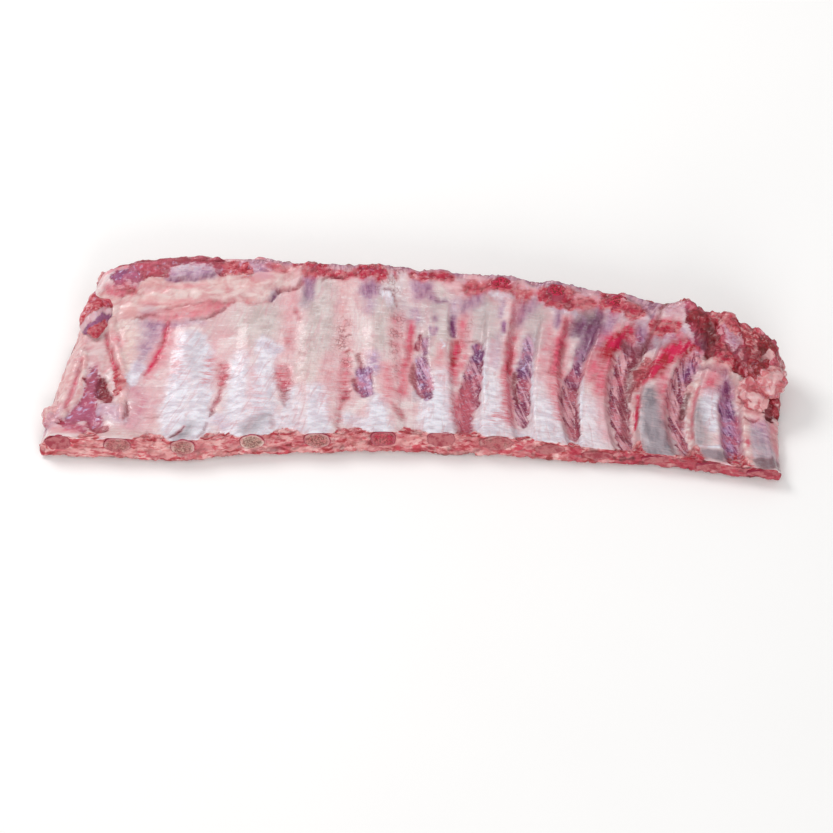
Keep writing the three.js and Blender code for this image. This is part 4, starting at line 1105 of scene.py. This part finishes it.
def banded(share, bands):
    """Pigments in soft-edged bands along a lump."""
    pigments = {name: np.zeros(share.shape) for name in PIGMENTS}
    for low, high, paints in bands:
        band = smoothstep(share, low - 0.07, low + 0.07) * (1 - smoothstep(share, high - 0.07, high + 0.07))
        for name, strength in paints.items():
            at_least(pigments, name, strength * band)
    return pigments


def take_marks(pigments, points):
    """Paints a lump with the marks of the bone side that it lies on."""
    marks = paint(points[..., 0], points[..., 1])[0]
    for name in TAKEN_FROM_MARKS:
        at_least(pigments, name, marks[name])
    pale = np.maximum(marks["lilac"], marks["white"])
    pigments["fat"] = pigments["fat"] * (1 - np.maximum(marks["lean"], pale))
    pigments["lean"] = np.maximum(pigments["lean"] * (1 - pale), marks["lean"])


def stain_lump(pigments, place, folds, clods, rugged):
    """Stains a lump: flushes on its fat, painted glints, and red creases between its clods, darkened with
    painted shade on lean and cut meat.
    """
    x, y, z = place
    crease = (1 - smoothstep(clods, 0.0, 0.13)) * smoothstep(folds, -0.2, 0.2)
    flush = layered(x / 9, y / 9, z / 9, 3, 46) + 0.3 * smoothstep(rugged, 1.0, 1.2)
    flush = smoothstep(flush, 0.05, 0.25) * pigments["fat"] * smoothstep(rugged, 0.3, 0.8)
    if rugged > 1:
        at_least(pigments, "cut", 0.8 * flush)
    at_least(pigments, "blood", np.maximum(0.5 * crease, 0.7 * flush))
    # Painted glints in patches.
    glint_patches = smoothstep(-layered(x / 7, y / 7, z / 7, 3, 47), 0.1, 0.35)
    at_least(pigments, "glisten", 0.4 * glint_patches)
    at_least(pigments, "deep", 0.5 * crease * np.maximum(pigments["lean"], pigments["cut"]))


def lump_piece(name, centre, radii, turn, rugged, painted, bands):
    """A rounded lump with folds and clods, banded in its tissues."""
    long_way = radii[0] > radii[1]
    unit = lump_unit(long_way)
    points, place, folds, clods, tone = lump_form(unit, centre, radii, turn, rugged)
    share = unit[..., 0] if long_way else unit[..., 1] - 0.6 * unit[..., 0]
    pigments = banded(share + 0.2 * folds, bands)
    if painted:
        take_marks(pigments, points)
    pigments["tone"] = (0.7 if painted or rugged < 0.5 else 1.0) * tone
    stain_lump(pigments, place, folds, clods, rugged)
    attributes = {key: value.reshape(-1) for key, value in pigments.items()}
    attributes["grain"] = (points - MIDDLE).reshape(-1, 3)
    return mesh_piece(name, points.reshape(-1, 3), tube_faces(LUMP_ALONG, LUMP_AROUND), attributes)


# How red each rib's sawn core is, from rib 1 to rib 13, and how much tissue smears over its end
# and over a sawn head.
CORE_REDNESS = [0.9, 0.4, 0.1, 0.0, 0.4, 0.85, 0.5, 0.5, 0.3, 0.5, 0.4, 0.6, 0.7]
END_SMEARED = [0.9, 0.5, 0.45, 0.25, 0.35, 0.4, 0.9, 0.6, 0.75, 0.8, 0.75, 0.8, 0.9]
HEAD_SMEARED = 0.1
BONE_AROUND = 44
CAP_RINGS = 9
# A rib's section: 2 would be an ellipse, and more is squarer.
SQUARISH = 2.2


def bone_line(rib):
    """Places along a rib, with the way each section faces."""
    near_x, near_y = plan(rib, 0.0)
    proud = BONE_PROUD * (0.8 - 1.2 * END_SMEARED[rib - 1])
    lip = top_height(rib, 0.0)
    lean = sawn_lean(rib) * BONE_DEPTHS[0] / (lip - under_height(0.0))
    line = [(0.0, np.array([near_x, near_y - lean - proud, lip - BONE_DEPTHS[0]]))]
    for v, depth in zip(BONE_STATIONS, BONE_DEPTHS):
        x, y = plan(rib, v)
        line.append((v, np.array([x, y, top_height(rib, v) - depth])))
    if rib in SHOWN_HEADS:
        x, y = plan(rib, HEAD_AT)
        line.append((HEAD_AT, np.array([x, y, top_height(rib, HEAD_AT) + 0.2 * BONE_PROUD])))
    faces = []
    for i in range(len(line)):
        way = line[min(i + 1, len(line) - 1)][1] - line[max(i - 1, 0)][1]
        way[0] = 0
        faces.append(way / np.linalg.norm(way))
    faces[0] = np.array([0, lip - under_height(0.0), -sawn_lean(rib)])
    faces[0] = faces[0] / np.linalg.norm(faces[0])
    if rib in SHOWN_HEADS:
        tilt = math.radians(HEAD_TILT)
        faces[-1] = np.array([0, -math.sin(tilt), math.cos(tilt)])
    return line, faces


def bone_outline(rib):
    """A rib's squarish outline, one unit to each side, and how uneven it is all round."""
    turn = np.linspace(0, 2 * np.pi, BONE_AROUND, endpoint=False)
    bulge = (np.abs(np.cos(turn)) ** SQUARISH + np.abs(np.sin(turn)) ** SQUARISH) ** (-1 / SQUARISH)
    outline = np.stack([np.cos(turn) * bulge, np.sin(turn) * bulge], axis=1)
    uneven = layered(outline[:, 0] * 1.3, outline[:, 1] * 1.3, rib * 3.1, 3, 44)
    rugged = 0.42 if rib in SHOWN_HEADS else 0.24
    return outline * (1 + rugged * uneven)[:, None], uneven


def bone_ring(rib, v, at, face, outline, scale, push):
    """The ring of points round a rib at one place, scaled, and pushed out the way it faces."""
    inside = smoothstep(v, 0.0, 0.04)
    half_width = bone_half_width(rib, v) * scale * lerp(END_BROADER, 1.0, inside)
    half_thick = lerp(BONE_THICK, BONE_HEAD_THICK, smoothstep(v, 0.7, 0.95)) / 2 * scale
    half_thick *= lerp(end_thicker(rib), 1.0, inside)
    rise = half_thick * outline[:, 1]
    around = np.stack([half_width * outline[:, 0], -face[2] * rise, face[1] * rise], axis=1)
    return at + around + face * np.broadcast_to(push, BONE_AROUND)[:, None]


def cap_sections(station, outward, uneven):
    """A sawn end from its rim to its middle: each ring's place, scale, push and how spongy it is."""
    sections = []
    dense = 0.12 if outward < 0 else 0.04
    for k in range(CAP_RINGS):
        scale = 1 - 0.93 * k / (CAP_RINGS - 1)
        core = smoothstep(1 - scale + 0.16 * uneven[::-1], dense, dense + 0.2)
        bevel = 0.6 * math.sin(0.5 * math.pi * min(1 - scale, 0.1) / 0.1)
        sections.append((station, scale, outward * (bevel - 0.5 * core), core))
    return sections


def bone_piece(rib):
    """A sawn rib bone: a dense rim round a spongy core at each end that shows."""
    line, faces = bone_line(rib)
    outline, uneven = bone_outline(rib)
    last = len(line) - 1
    sections = cap_sections(0, -1.0, uneven)[::-1]
    for i in range(1, last):
        sections.append((i, 1.0 if i in (1, last - 1) else 0.85, 0.0, 0.0))
    sections += cap_sections(last, 1.0, uneven) if rib in SHOWN_HEADS else [(last, 0.9, 0.0, 0.0)]
    rings = [bone_ring(rib, *line[i], faces[i], outline, scale, push) for i, scale, push, _ in sections]
    points = np.stack(rings)
    core = np.stack([np.broadcast_to(section[3], BONE_AROUND) for section in sections])
    half = len(rings) // 2
    away = np.stack([faces[0]] * half + [faces[-1]] * (len(rings) - half))
    pits = layered(points[..., 0] / 1.7, points[..., 1] / 1.7, points[..., 2] / 1.7, 2, 51)
    points = points + 0.5 * (core * pits)[..., None] * away[:, None, :]
    red = np.full(core.shape, CORE_REDNESS[rib - 1])
    red[half:] = 1.0
    smeared = np.full(core.shape, END_SMEARED[rib - 1])
    smeared[half:] = HEAD_SMEARED
    attributes = {"core": core.reshape(-1), "red": red.reshape(-1), "smeared": smeared.reshape(-1)}
    faces = tube_faces(len(rings), BONE_AROUND)
    return mesh_piece("rib_%02d" % rib, points.reshape(-1, 3), faces, attributes)


def linear(hex_colour):
    """An sRGB hex colour as linear red, green, blue and alpha."""
    channels = [int(hex_colour[i:i + 2], 16) / 255 for i in (1, 3, 5)]
    return [c / 12.92 if c <= 0.04045 else ((c + 0.055) / 1.055) ** 2.4 for c in channels] + [1.0]


def add(tree, kind, settings=None, inputs=None, output=None):
    """Adds a node with its settings and links, and gives the socket that it puts out."""
    made = tree.nodes.new("ShaderNode" + kind)
    for key, value in (settings or {}).items():
        setattr(made, key, value)
    for key, value in (inputs or {}).items():
        named = [s for s in made.inputs if s.name == key and s.enabled]
        socket = made.inputs[key] if isinstance(key, int) else named[0]
        if isinstance(value, bpy.types.NodeSocket):
            tree.links.new(value, socket)
        else:
            socket.default_value = value
    shown = [s for s in made.outputs if s.enabled and (output is None or s.name == output)]
    return shown[0] if shown else None


# The light that the wet film throws back, and what a white level surface sends back under the lights.
FILM_SHINE = 0.035
STUDIO_LEVEL = 0.98

# Settings of the nodes, by what they do.
COLOUR = {"data_type": "RGBA"}
EASED = {"interpolation_type": "SMOOTHSTEP"}
PER_SIZE = {"operation": "DIVIDE"}
TIMES = {"operation": "MULTIPLY"}
TIMES_PLUS = {"operation": "MULTIPLY_ADD"}
PLUS = {"operation": "ADD"}
CAPPED = {"use_clamp": True}


def eased(low, high, value, start=0.0, end=1.0):
    """The settings of a smooth step of a value, as the inputs of a range node."""
    return {"Value": value, "From Min": low, "From Max": high, "To Min": start, "To Max": end}


def wet(hex_colour):
    """A tissue's own colour: the picture's colour less the light that its wet film throws back."""
    channels = [min(1.0, max(0.004, (c - FILM_SHINE) / STUDIO_LEVEL)) for c in linear(hex_colour)[:3]]
    return channels + [1.0]


def new_material(name):
    """An empty node material and its tree."""
    made = bpy.data.materials.new(name)
    made.use_nodes = True
    made.node_tree.nodes.clear()
    return made, made.node_tree


def moist_shader(tree, colour, height, relief_mm, rough, water=0.6):
    """The shader of moist tissue: light goes in a little way, and a film of water lies on top."""
    normal = add(tree, "Bump", None, {"Strength": 1.0, "Distance": relief_mm * MM, "Height": height})
    surface = add(tree, "BsdfPrincipled", {"subsurface_method": "RANDOM_WALK"}, {
        "Base Color": colour, "Roughness": rough, "IOR": 1.38, "Normal": normal,
        "Subsurface Weight": 0.08, "Subsurface Scale": 0.8 * MM, "Subsurface Radius": (1.0, 0.4, 0.3),
        "Coat Weight": water, "Coat Roughness": 0.13, "Coat IOR": 1.33,
    })
    add(tree, "OutputMaterial", None, {"Surface": surface})


# Tissues that soak in, from the deepest to the outermost: the pigment, two colours that it wanders
# between, and the size of its patches in mm. The first ones lie under the fat, the others over it.
LAYERS = (
    ("cream", "#e0c9c3", "#d7b5b2", 8),
    ("grey", "#d2c4c2", "#bfadab", 12),
    ("pink", "#d97f8c", "#e0a5ad", 7),
    ("white", "#e8e4ec", "#d3cad4", 6),
    ("lilac", "#a9839f", "#c6a6b8", 5),
)
OUTER_LAYERS = (
    ("blue", "#8b8188", "#a4989f", 9),
    ("mauve", "#9a6e82", "#caa2ac", 4),
    ("purple", "#80496f", "#a67a98", 5),
    ("blood", "#a70f40", "#cc3359", 6),
)
# How many times longer than that the patches are along, across and up the rack.
DRAWN_ALONG = (2.0, 1.0, 1.0)
DRAWN_ACROSS = (1.0, 3.33, 1.67)

# Coats over a tissue: the pattern or pigment that brings each, where it starts and is full, how far
# it covers there, what else it needs, and its hue. These are pale fibres, partly real and partly a
# painted sheen, pink gaps between them, pink folds and red vessels.
MEMBRANE_COATS = (
    ("fibres", 0.52, 0.7, 0.0, 0.5, "dry", "#efe8ea"),
    ("fibres", 0.46, 0.32, 0.0, 0.25, None, "#c59aa4"),
    ("creases", 0.46, 0.34, 0.0, 0.3, None, "#c6919b"),
    ("fibres", 0.42, 0.68, 0.0, 1.0, "streak", "#cf6a74"),
)
# Brown creases, partly brown tissue and partly painted shade; painted shade in the deepest hollows; and
# painted glints, pale lilac flecks that stand in for highlights.
PAINTED_SHADE_AND_GLINTS = (
    ("frayed", 0.34, 0.62, 0.55, 1.0, "brown", "#93464f"),
    ("frayed", 0.34, 0.62, 0.55, 1.0, "deep", "#541728"),
    ("flecks", 0.54, 0.7, 0.0, 0.8, "glisten", "#cdbbdc"),
)

# Patterns of the tissue: their size in mm along, across and up the rack, and how detailed, rough
# and winding they are. Fibres of the membrane run along the rack, from rib to rib, and creases run
# down the ribs. Real fibres and the grain of lean are 1 mm wide or less, and a pixel is 1 mm, so
# these are drawn 2 to 4 times as coarse. Strands, lobes and blotches are as large as they look.
PATTERNS = {
    "fibres": ((20, 2, 2.5), 3.0, 0.55, 0.4),
    "creases": ((5.88, 28.6, 10), 3.0, 0.5, 0.8),
    "frayed": ((4.55, 2.38, 2.5), 4.0, 0.55, 0.0),
    "blotches": ((16, 16, 16), 4.0, 0.5, 0.0),
    "lobes": ((16.7, 7.69, 10), 3.5, 0.55, 0.4),
    "strands": ((4.35, 33.3, 10), 2.5, 0.5, 0.6),
    "grain": ((4, 4, 4), 4.0, 0.55, 0.0),
    "threads": ((9, 9, 9), 3.0, 0.5, 1.0),
    "smears": ((9.09, 3.85, 3.85), 4.0, 0.55, 0.0),
    "flecks": ((5, 5, 5), 5.0, 0.5, 0.0),
}
# Flakes of torn membrane and facets of crumpled tissue, in mm.
CRACKED_CELL = (5, 3.7, 4)
CRUMPLED_CELL = (7.69, 5, 6.25)
# Strands run steeply down to the neck side, turned this many degrees from straight down.
STRANDS_TURNED = -24
# Height in mm that the fine relief's full range gives.
RELIEF_MM = 1.6


def given_sockets(tree):
    """Sockets that give the place in mm, each pigment's strength and each pattern."""
    place = add(tree, "Attribute", {"attribute_name": "grain"}, None, "Vector")
    turned = add(tree, "VectorRotate", {"rotation_type": "Z_AXIS"},
                 {"Vector": place, "Angle": math.radians(STRANDS_TURNED)})
    given = {"place": place}
    for name in PIGMENTS:
        given[name] = add(tree, "Attribute", {"attribute_name": name}, None, "Fac")
    for name, (sizes, detail, roughness, winding) in PATTERNS.items():
        way = turned if name == "strands" else place
        at = add(tree, "VectorMath", PER_SIZE, {0: way, 1: sizes})
        given[name] = add(tree, "TexNoise", None, {
            "Vector": at, "Scale": 1.0, "Detail": detail, "Roughness": roughness, "Distortion": winding,
        }, "Fac")
    given["violet"] = add(tree, "Math", PLUS | CAPPED, {0: given["purple"], 1: given["lilac"]})
    # Patches where the pale fibres show, their paleness partly a painted sheen.
    given["dry"] = add(tree, "MapRange", EASED, eased(0.42, 0.56, given["frayed"], 0.2, 1.0))
    return given


def soaked_cover(tree, frayed, share):
    """How far a tissue soaks in: its share, a little patchy."""
    patchy = {"Value": frayed, "From Min": 0.36, "From Max": 0.64, "To Min": 0.7, "To Max": 1.5}
    return add(tree, "Math", TIMES | CAPPED, {0: add(tree, "MapRange", None, patchy), 1: share})


def ragged_cover(tree, given, name):
    """How far a tissue covers: its pigment, broken up along its edges by noise."""
    wander = {"Value": given["frayed"], "From Min": 0.3, "From Max": 0.7, "To Min": -0.3, "To Max": 0.3}
    broken = add(tree, "Math", PLUS, {0: add(tree, "MapRange", None, wander), 1: given[name]})
    return add(tree, "MapRange", EASED, eased(0.24, 0.82, broken))


def two_toned(tree, pattern, low, high, first, second, most=1.0):
    """A colour that turns from one hue to another where a pattern rises."""
    share = add(tree, "MapRange", EASED, eased(low, high, pattern, 0.0, most))
    return add(tree, "Mix", COLOUR, {"Factor": share, "A": wet(first), "B": wet(second)})


def soak_in(tree, given, colour, layers, frayed, drawn_out):
    """Lays tissues over a colour in turn, each by its pigment and in patches."""
    for name, first, second, size in layers:
        sizes = [size * longer for longer in drawn_out]
        at = add(tree, "VectorMath", PER_SIZE, {0: given["place"], 1: sizes})
        patches = add(tree, "TexNoise", None, {"Vector": at, "Scale": 1.0, "Detail": 2.0}, "Fac")
        tone = two_toned(tree, patches, 0.38, 0.62, first, second)
        cover = soaked_cover(tree, frayed, given[name])
        colour = add(tree, "Mix", COLOUR, {"Factor": cover, "A": colour, "B": tone})
    return colour


def coated(tree, given, colour, coats):
    """Lays coats over a colour in turn: see MEMBRANE_COATS for what each one says."""
    for source, low, high, least, most, needed, hue in coats:
        cover = add(tree, "MapRange", EASED, eased(low, high, given[source], least, most))
        if needed:
            cover = add(tree, "Math", TIMES, {0: cover, 1: given[needed]})
        colour = add(tree, "Mix", COLOUR, {"Factor": cover, "A": colour, "B": wet(hue)})
    return colour


def tinted(tree, given, colour, *tints):
    """Tints a colour by pigments in turn: each one's name, its share at most, and its hue."""
    for name, most, hue in tints:
        cover = add(tree, "Math", TIMES, {0: given[name], 1: most})
        colour = add(tree, "Mix", COLOUR, {"Factor": cover, "A": colour, "B": wet(hue)})
    return colour


def membrane_colour(tree, given):
    """Silvery membrane, soaked with tones, with pale fibres partly painted as a sheen, pink gaps and folds,
    and red vessels.
    """
    colour = two_toned(tree, given["blotches"], 0.38, 0.62, "#e3cfcf", "#dbb5b8")
    streaky = add(tree, "Mix", None, {"Factor": 0.6, "A": given["frayed"], "B": given["creases"]})
    colour = soak_in(tree, given, colour, LAYERS, streaky, DRAWN_ALONG)
    return coated(tree, given, colour, MEMBRANE_COATS)


def fat_colour(tree, given):
    """Lobes of fat, cream to pink, flushed by the pink and lilac pigments."""
    fat = two_toned(tree, given["lobes"], 0.38, 0.66, "#dfc6c3", "#cf9c9e")
    fat = coated(tree, given, fat, [("tone", 0.45, 1.0, 0.0, 0.55, None, "#d9a4a2")])
    return tinted(tree, given, fat, ("pink", 0.6, "#e0949b"), ("lilac", 0.5, "#bd9bb5"))


def muscle_colour(tree, given):
    """Strands of muscle with sinew between them, violet or rosy in places, with a painted pale sheen."""
    fibre = two_toned(tree, given["strands"], 0.42, 0.6, "#85344c", "#d8a0a8")
    violet = two_toned(tree, given["strands"], 0.42, 0.6, "#73406a", "#bd90b2")
    fibre = add(tree, "Mix", COLOUR, {"Factor": given["violet"], "A": fibre, "B": violet})
    rosy = add(tree, "MapRange", EASED, eased(0.5, 0.62, given["blotches"], 0.0, 0.5))
    rosy = add(tree, "Math", TIMES_PLUS | CAPPED, {0: given["blood"], 1: 0.8, 2: rosy})
    fibre = add(tree, "Mix", COLOUR, {"Factor": rosy, "A": fibre, "B": wet("#cd6c7a")})
    return coated(tree, given, fibre, [("frayed", 0.52, 0.68, 0.0, 0.5, None, "#dcc6da")])


def clodded(tree, given, pattern, low, high, hues):
    """A colour between two pairs of hues: by each clod's tone in a pair, by a pattern between them."""
    first, second = (
        add(tree, "Mix", COLOUR, {"Factor": given["tone"], "A": wet(dark), "B": wet(light)})
        for dark, light in hues)
    share = add(tree, "MapRange", EASED, eased(low, high, given[pattern]))
    return add(tree, "Mix", COLOUR, {"Factor": share, "A": first, "B": second})


def lean_colour(tree, given):
    """Clods of lean from dark to bright red, with a fine grain, threads of sinew and bits of fat."""
    lean = clodded(tree, given, "grain", 0.38, 0.64, (("#700f28", "#b22844"), ("#8c2138", "#c75464")))
    lean = coated(tree, given, lean, [("threads", 0.54, 0.68, 0.0, 0.45, None, "#dc9aa4")])
    lean = tinted(tree, given, lean, ("violet", 0.7, "#96668f"), ("pink", 0.6, "#cc6f82"))
    return coated(tree, given, lean, [("tone", 0.84, 0.94, 0.0, 0.8, None, "#d9a0aa")])


def cut_colour(tree, given):
    """Meat that was cut through: bright red with smears of fat."""
    cut = clodded(tree, given, "smears", 0.42, 0.58, (("#9c2339", "#d05864"), ("#cb6670", "#eec2be")))
    return tinted(tree, given, cut, ("fat", 0.55, "#e3b0ac"), ("blood", 0.85, "#b4184e"))


def cracks(tree, given):
    """Cracks between the flakes of torn membrane."""
    at = add(tree, "VectorMath", PER_SIZE, {0: given["place"], 1: CRACKED_CELL})
    edges = add(tree, "TexVoronoi", {"feature": "DISTANCE_TO_EDGE"}, {"Vector": at, "Scale": 1.0},
                "Distance")
    crack = add(tree, "MapRange", EASED, eased(0.0, 0.13, edges, 0.45, 0.0))
    patchy = add(tree, "MapRange", EASED, eased(0.45, 0.55, given["lobes"]))
    for share in (patchy, given["crackle"]):
        crack = add(tree, "Math", TIMES, {0: crack, 1: share})
    return crack


def fine_relief(tree, given, crack):
    """Relief too fine for the mesh: fibres of the membrane, crumples, strands, grain and cracks."""
    at = add(tree, "VectorMath", PER_SIZE, {0: given["place"], 1: CRUMPLED_CELL})
    crumpled = add(tree, "TexVoronoi", {"feature": "F1"}, {"Vector": at, "Scale": 1.0}, "Distance")
    height = add(tree, "Math", TIMES, {0: given["fibres"], 1: 0.25})
    for pattern, share in ((given["creases"], 0.45), (given["frayed"], 0.35), (crumpled, 0.5)):
        height = add(tree, "Math", TIMES_PLUS, {0: pattern, 1: share, 2: height})
    taut = add(tree, "MapRange", None, {"Value": given["fat"], "To Min": 1.0, "To Max": 0.2})
    height = add(tree, "Math", TIMES, {0: height, 1: taut})
    pebbly = add(tree, "Math", PLUS | CAPPED, {0: given["lean"], 1: given["cut"]})
    pebbly = add(tree, "Math", TIMES, {0: pebbly, 1: 0.4})
    for pattern, share in ((given["grain"], pebbly), (given["strands"], given["muscle"])):
        height = add(tree, "Math", TIMES_PLUS, {0: pattern, 1: share, 2: height})
    return add(tree, "Math", {"operation": "SUBTRACT"}, {0: height, 1: crack})


def rack_surface():
    """Raw rib tissue, trimmed with a knife and wet.

    It is silvery and streaked where the membrane was left on, and shows striped muscle, waxy fat
    and grainy red lean where it was peeled off. Its film of water breaks up into small glints. Pale
    flecks add painted glints, and dark pigments paint shade into creases and hollows.
    """
    made, tree = new_material("raw_rib_tissue")
    given = given_sockets(tree)
    colour = membrane_colour(tree, given)
    cover = ragged_cover(tree, given, "fat")
    colour = add(tree, "Mix", COLOUR, {"Factor": cover, "A": colour, "B": fat_colour(tree, given)})
    fringed = add(tree, "Mix", None, {"Factor": 0.5, "A": given["creases"], "B": given["fibres"]})
    colour = soak_in(tree, given, colour, OUTER_LAYERS, fringed, DRAWN_ACROSS)
    cover = add(tree, "MapRange", EASED, eased(0.1, 0.9, given["muscle"]))
    cover = soaked_cover(tree, given["frayed"], cover)
    colour = add(tree, "Mix", COLOUR, {"Factor": cover, "A": colour, "B": muscle_colour(tree, given)})
    for name, tissue in (("lean", lean_colour), ("cut", cut_colour)):
        cover = ragged_cover(tree, given, name)
        colour = add(tree, "Mix", COLOUR, {"Factor": cover, "A": colour, "B": tissue(tree, given)})
    crack = cracks(tree, given)
    colour = add(tree, "Mix", COLOUR, {"Factor": crack, "A": colour, "B": wet("#bb6468")})
    colour = coated(tree, given, colour, PAINTED_SHADE_AND_GLINTS)
    rough = add(tree, "MapRange", EASED, eased(0.3, 0.7, given["grain"], 0.26, 0.48))
    moist_shader(tree, colour, fine_relief(tree, given, crack), RELIEF_MM, rough)
    return made


# Patterns of the bone: their size in mm and how detailed they are. Real pores are about 0.5 mm wide,
# too fine to show, so they are drawn three times as coarse.
BONE_PATTERNS = {"pores": (1.6, 3.0), "stains": (8, 3.0), "patches": (5, 4.0)}


def bone_surface():
    """Raw bone, sawn across.

    The saw leaves a dense pale rim round a spongy core, grey-brown or red with marrow, duller than
    the tissue round it.
    """
    made, tree = new_material("raw_sawn_bone")
    place = add(tree, "TexCoord", None, None, "Object")
    given = {name: add(tree, "Attribute", {"attribute_name": name}, None, "Fac")
             for name in ("core", "red", "smeared")}
    for name, (size, detail) in BONE_PATTERNS.items():
        sized = {"Vector": place, "Scale": 1 / (size * MM), "Detail": detail}
        given[name] = add(tree, "TexNoise", None, sized, "Fac")
    rim = two_toned(tree, given["stains"], 0.44, 0.6, "#dcc0b8", "#c98c8a", 0.85)
    rim = tinted(tree, given, rim, ("red", 0.95, "#a63f56"))
    sponge = two_toned(tree, given["pores"], 0.4, 0.6, "#86635c", "#bd9b90")
    marrow = two_toned(tree, given["pores"], 0.4, 0.6, "#7d0f2c", "#c63a56")
    reddened = add(tree, "MapRange", EASED, eased(0.3, 0.7, given["stains"], -0.25, 0.25))
    reddened = add(tree, "Math", PLUS | CAPPED, {0: reddened, 1: given["red"]})
    inner = add(tree, "Mix", COLOUR, {"Factor": reddened, "A": sponge, "B": marrow})
    colour = add(tree, "Mix", COLOUR, {"Factor": given["core"], "A": rim, "B": inner})
    shreds = add(tree, "Math", PLUS, {0: given["patches"], 1: given["smeared"]})
    shreds = add(tree, "MapRange", EASED, eased(0.8, 1.3, shreds, 0.0, 0.95))
    flesh = two_toned(tree, given["stains"], 0.44, 0.6, "#b86f73", "#983c49", 0.85)
    colour = add(tree, "Mix", COLOUR, {"Factor": shreds, "A": colour, "B": flesh})
    moist_shader(tree, colour, given["pores"], 1.0, 0.42, 0.3)
    return made


def floor_surface():
    """Studio card, pressed smooth and matt: an even pale tone with soft shadows and no glints."""
    made, tree = new_material("pale_card")
    place = add(tree, "TexCoord", None, None, "Object")
    clouds = add(tree, "TexNoise", None, {"Vector": place, "Scale": 3.0}, "Fac")
    tone = add(tree, "Mix", COLOUR, {"Factor": clouds, "A": linear("#fcfbfa"), "B": linear("#f8f7f6")})
    surface = add(tree, "BsdfPrincipled", None, {"Base Color": tone, "Roughness": 0.9})
    add(tree, "OutputMaterial", None, {"Surface": surface})
    return made


# The floor's side in metres, long enough that no view shows its border, and how far it lies under
# the rack, which keeps the two surfaces apart.
FLOOR_SIDE = 120
FLOOR_UNDER = 0.3 * MM

# Lights: place in metres, diameter in metres and watts. The key light falls from the left over the
# chine side. The fill comes from far in front, so that it is even over the whole rack.
KEY_LIGHT = ((-1.1, 0.9, 1.7), 0.95, 21)
FILL_LIGHT = ((0.9, -6.0, 2.7), 4.2, 180)
SURROUNDING_LIGHT = 0.62


def stage():
    """The plain pale floor."""
    bpy.ops.mesh.primitive_plane_add(size=FLOOR_SIDE, location=(0, 0, -FLOOR_UNDER))
    floor = bpy.context.object
    floor.name = "floor"
    floor.data.materials.append(floor_surface())


def area_light(name, place, size, watts):
    """A round soft light that faces the rack."""
    data = bpy.data.lights.new(name, "AREA")
    data.shape = "DISK"
    data.size = size
    data.energy = watts
    light = bpy.data.objects.new(name, data)
    bpy.context.scene.collection.objects.link(light)
    light.location = place
    light.rotation_mode = "QUATERNION"
    light.rotation_quaternion = (-Vector(place)).to_track_quat("-Z", "Y")


def lights():
    """Soft studio light: two round lights and white surroundings."""
    area_light("key", *KEY_LIGHT)
    area_light("fill", *FILL_LIGHT)
    world = bpy.data.worlds.new("studio")
    bpy.context.scene.world = world
    world.use_nodes = True
    surroundings = world.node_tree.nodes["Background"].inputs
    surroundings["Color"].default_value = linear("#ffffff")
    surroundings["Strength"].default_value = SURROUNDING_LIGHT


# The camera looks along +Y and down from 55 degrees up, through a long lens 20 m away, so the view is
# nearly parallel. The picture is 833 pixels wide, and a pixel is 1 mm. The origin of the lines'
# coordinates, on the floor, lands at ORIGIN_AT.
CAMERA_UP = 55
CAMERA_AWAY = 20.0
SENSOR = 36
PICTURE = 833
ORIGIN_AT = (415, 375)


def camera():
    """The camera at the picture's angle."""
    data = bpy.data.cameras.new("camera")
    data.sensor_width = SENSOR
    data.lens = data.sensor_width * CAMERA_AWAY / (PICTURE * MM)
    data.clip_end = 5 * CAMERA_AWAY
    made = bpy.data.objects.new("camera", data)
    bpy.context.scene.collection.objects.link(made)
    tilt = math.radians(CAMERA_UP)
    back = Vector((0, -math.cos(tilt), math.sin(tilt)))
    up = Vector((0, math.sin(tilt), math.cos(tilt)))
    right_by = (PICTURE / 2 - ORIGIN_AT[0]) * MM
    down_by = (PICTURE / 2 - ORIGIN_AT[1]) * MM
    target = Vector(-MIDDLE * MM) + Vector((right_by, 0, 0)) - up * down_by
    made.location = target + back * CAMERA_AWAY
    made.rotation_mode = "QUATERNION"
    made.rotation_quaternion = (-back).to_track_quat("-Z", "Y")
    bpy.context.scene.camera = made


def build():
    """Makes the studio and every piece, sets each piece on the root, and hides the parts of the model that
    they take the place of.
    """
    camera()
    lights()
    stage()
    tissue = rack_surface()
    bone = bone_surface()
    body = rack_body()
    meat = [body] + [lump_piece(name, *form) for name, form in LUMPS.items()]
    for piece in meat:
        piece.data.materials.append(tissue)
        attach(piece, "root")
    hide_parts("rack_meat")
    for rib in range(1, RIBS + 1):
        piece = bone_piece(rib)
        piece.data.materials.append(bone)
        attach(piece, "root")
        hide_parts("rib_bone_%02d" % rib)
    bpy.context.scene.view_settings.view_transform = "Standard"


build()
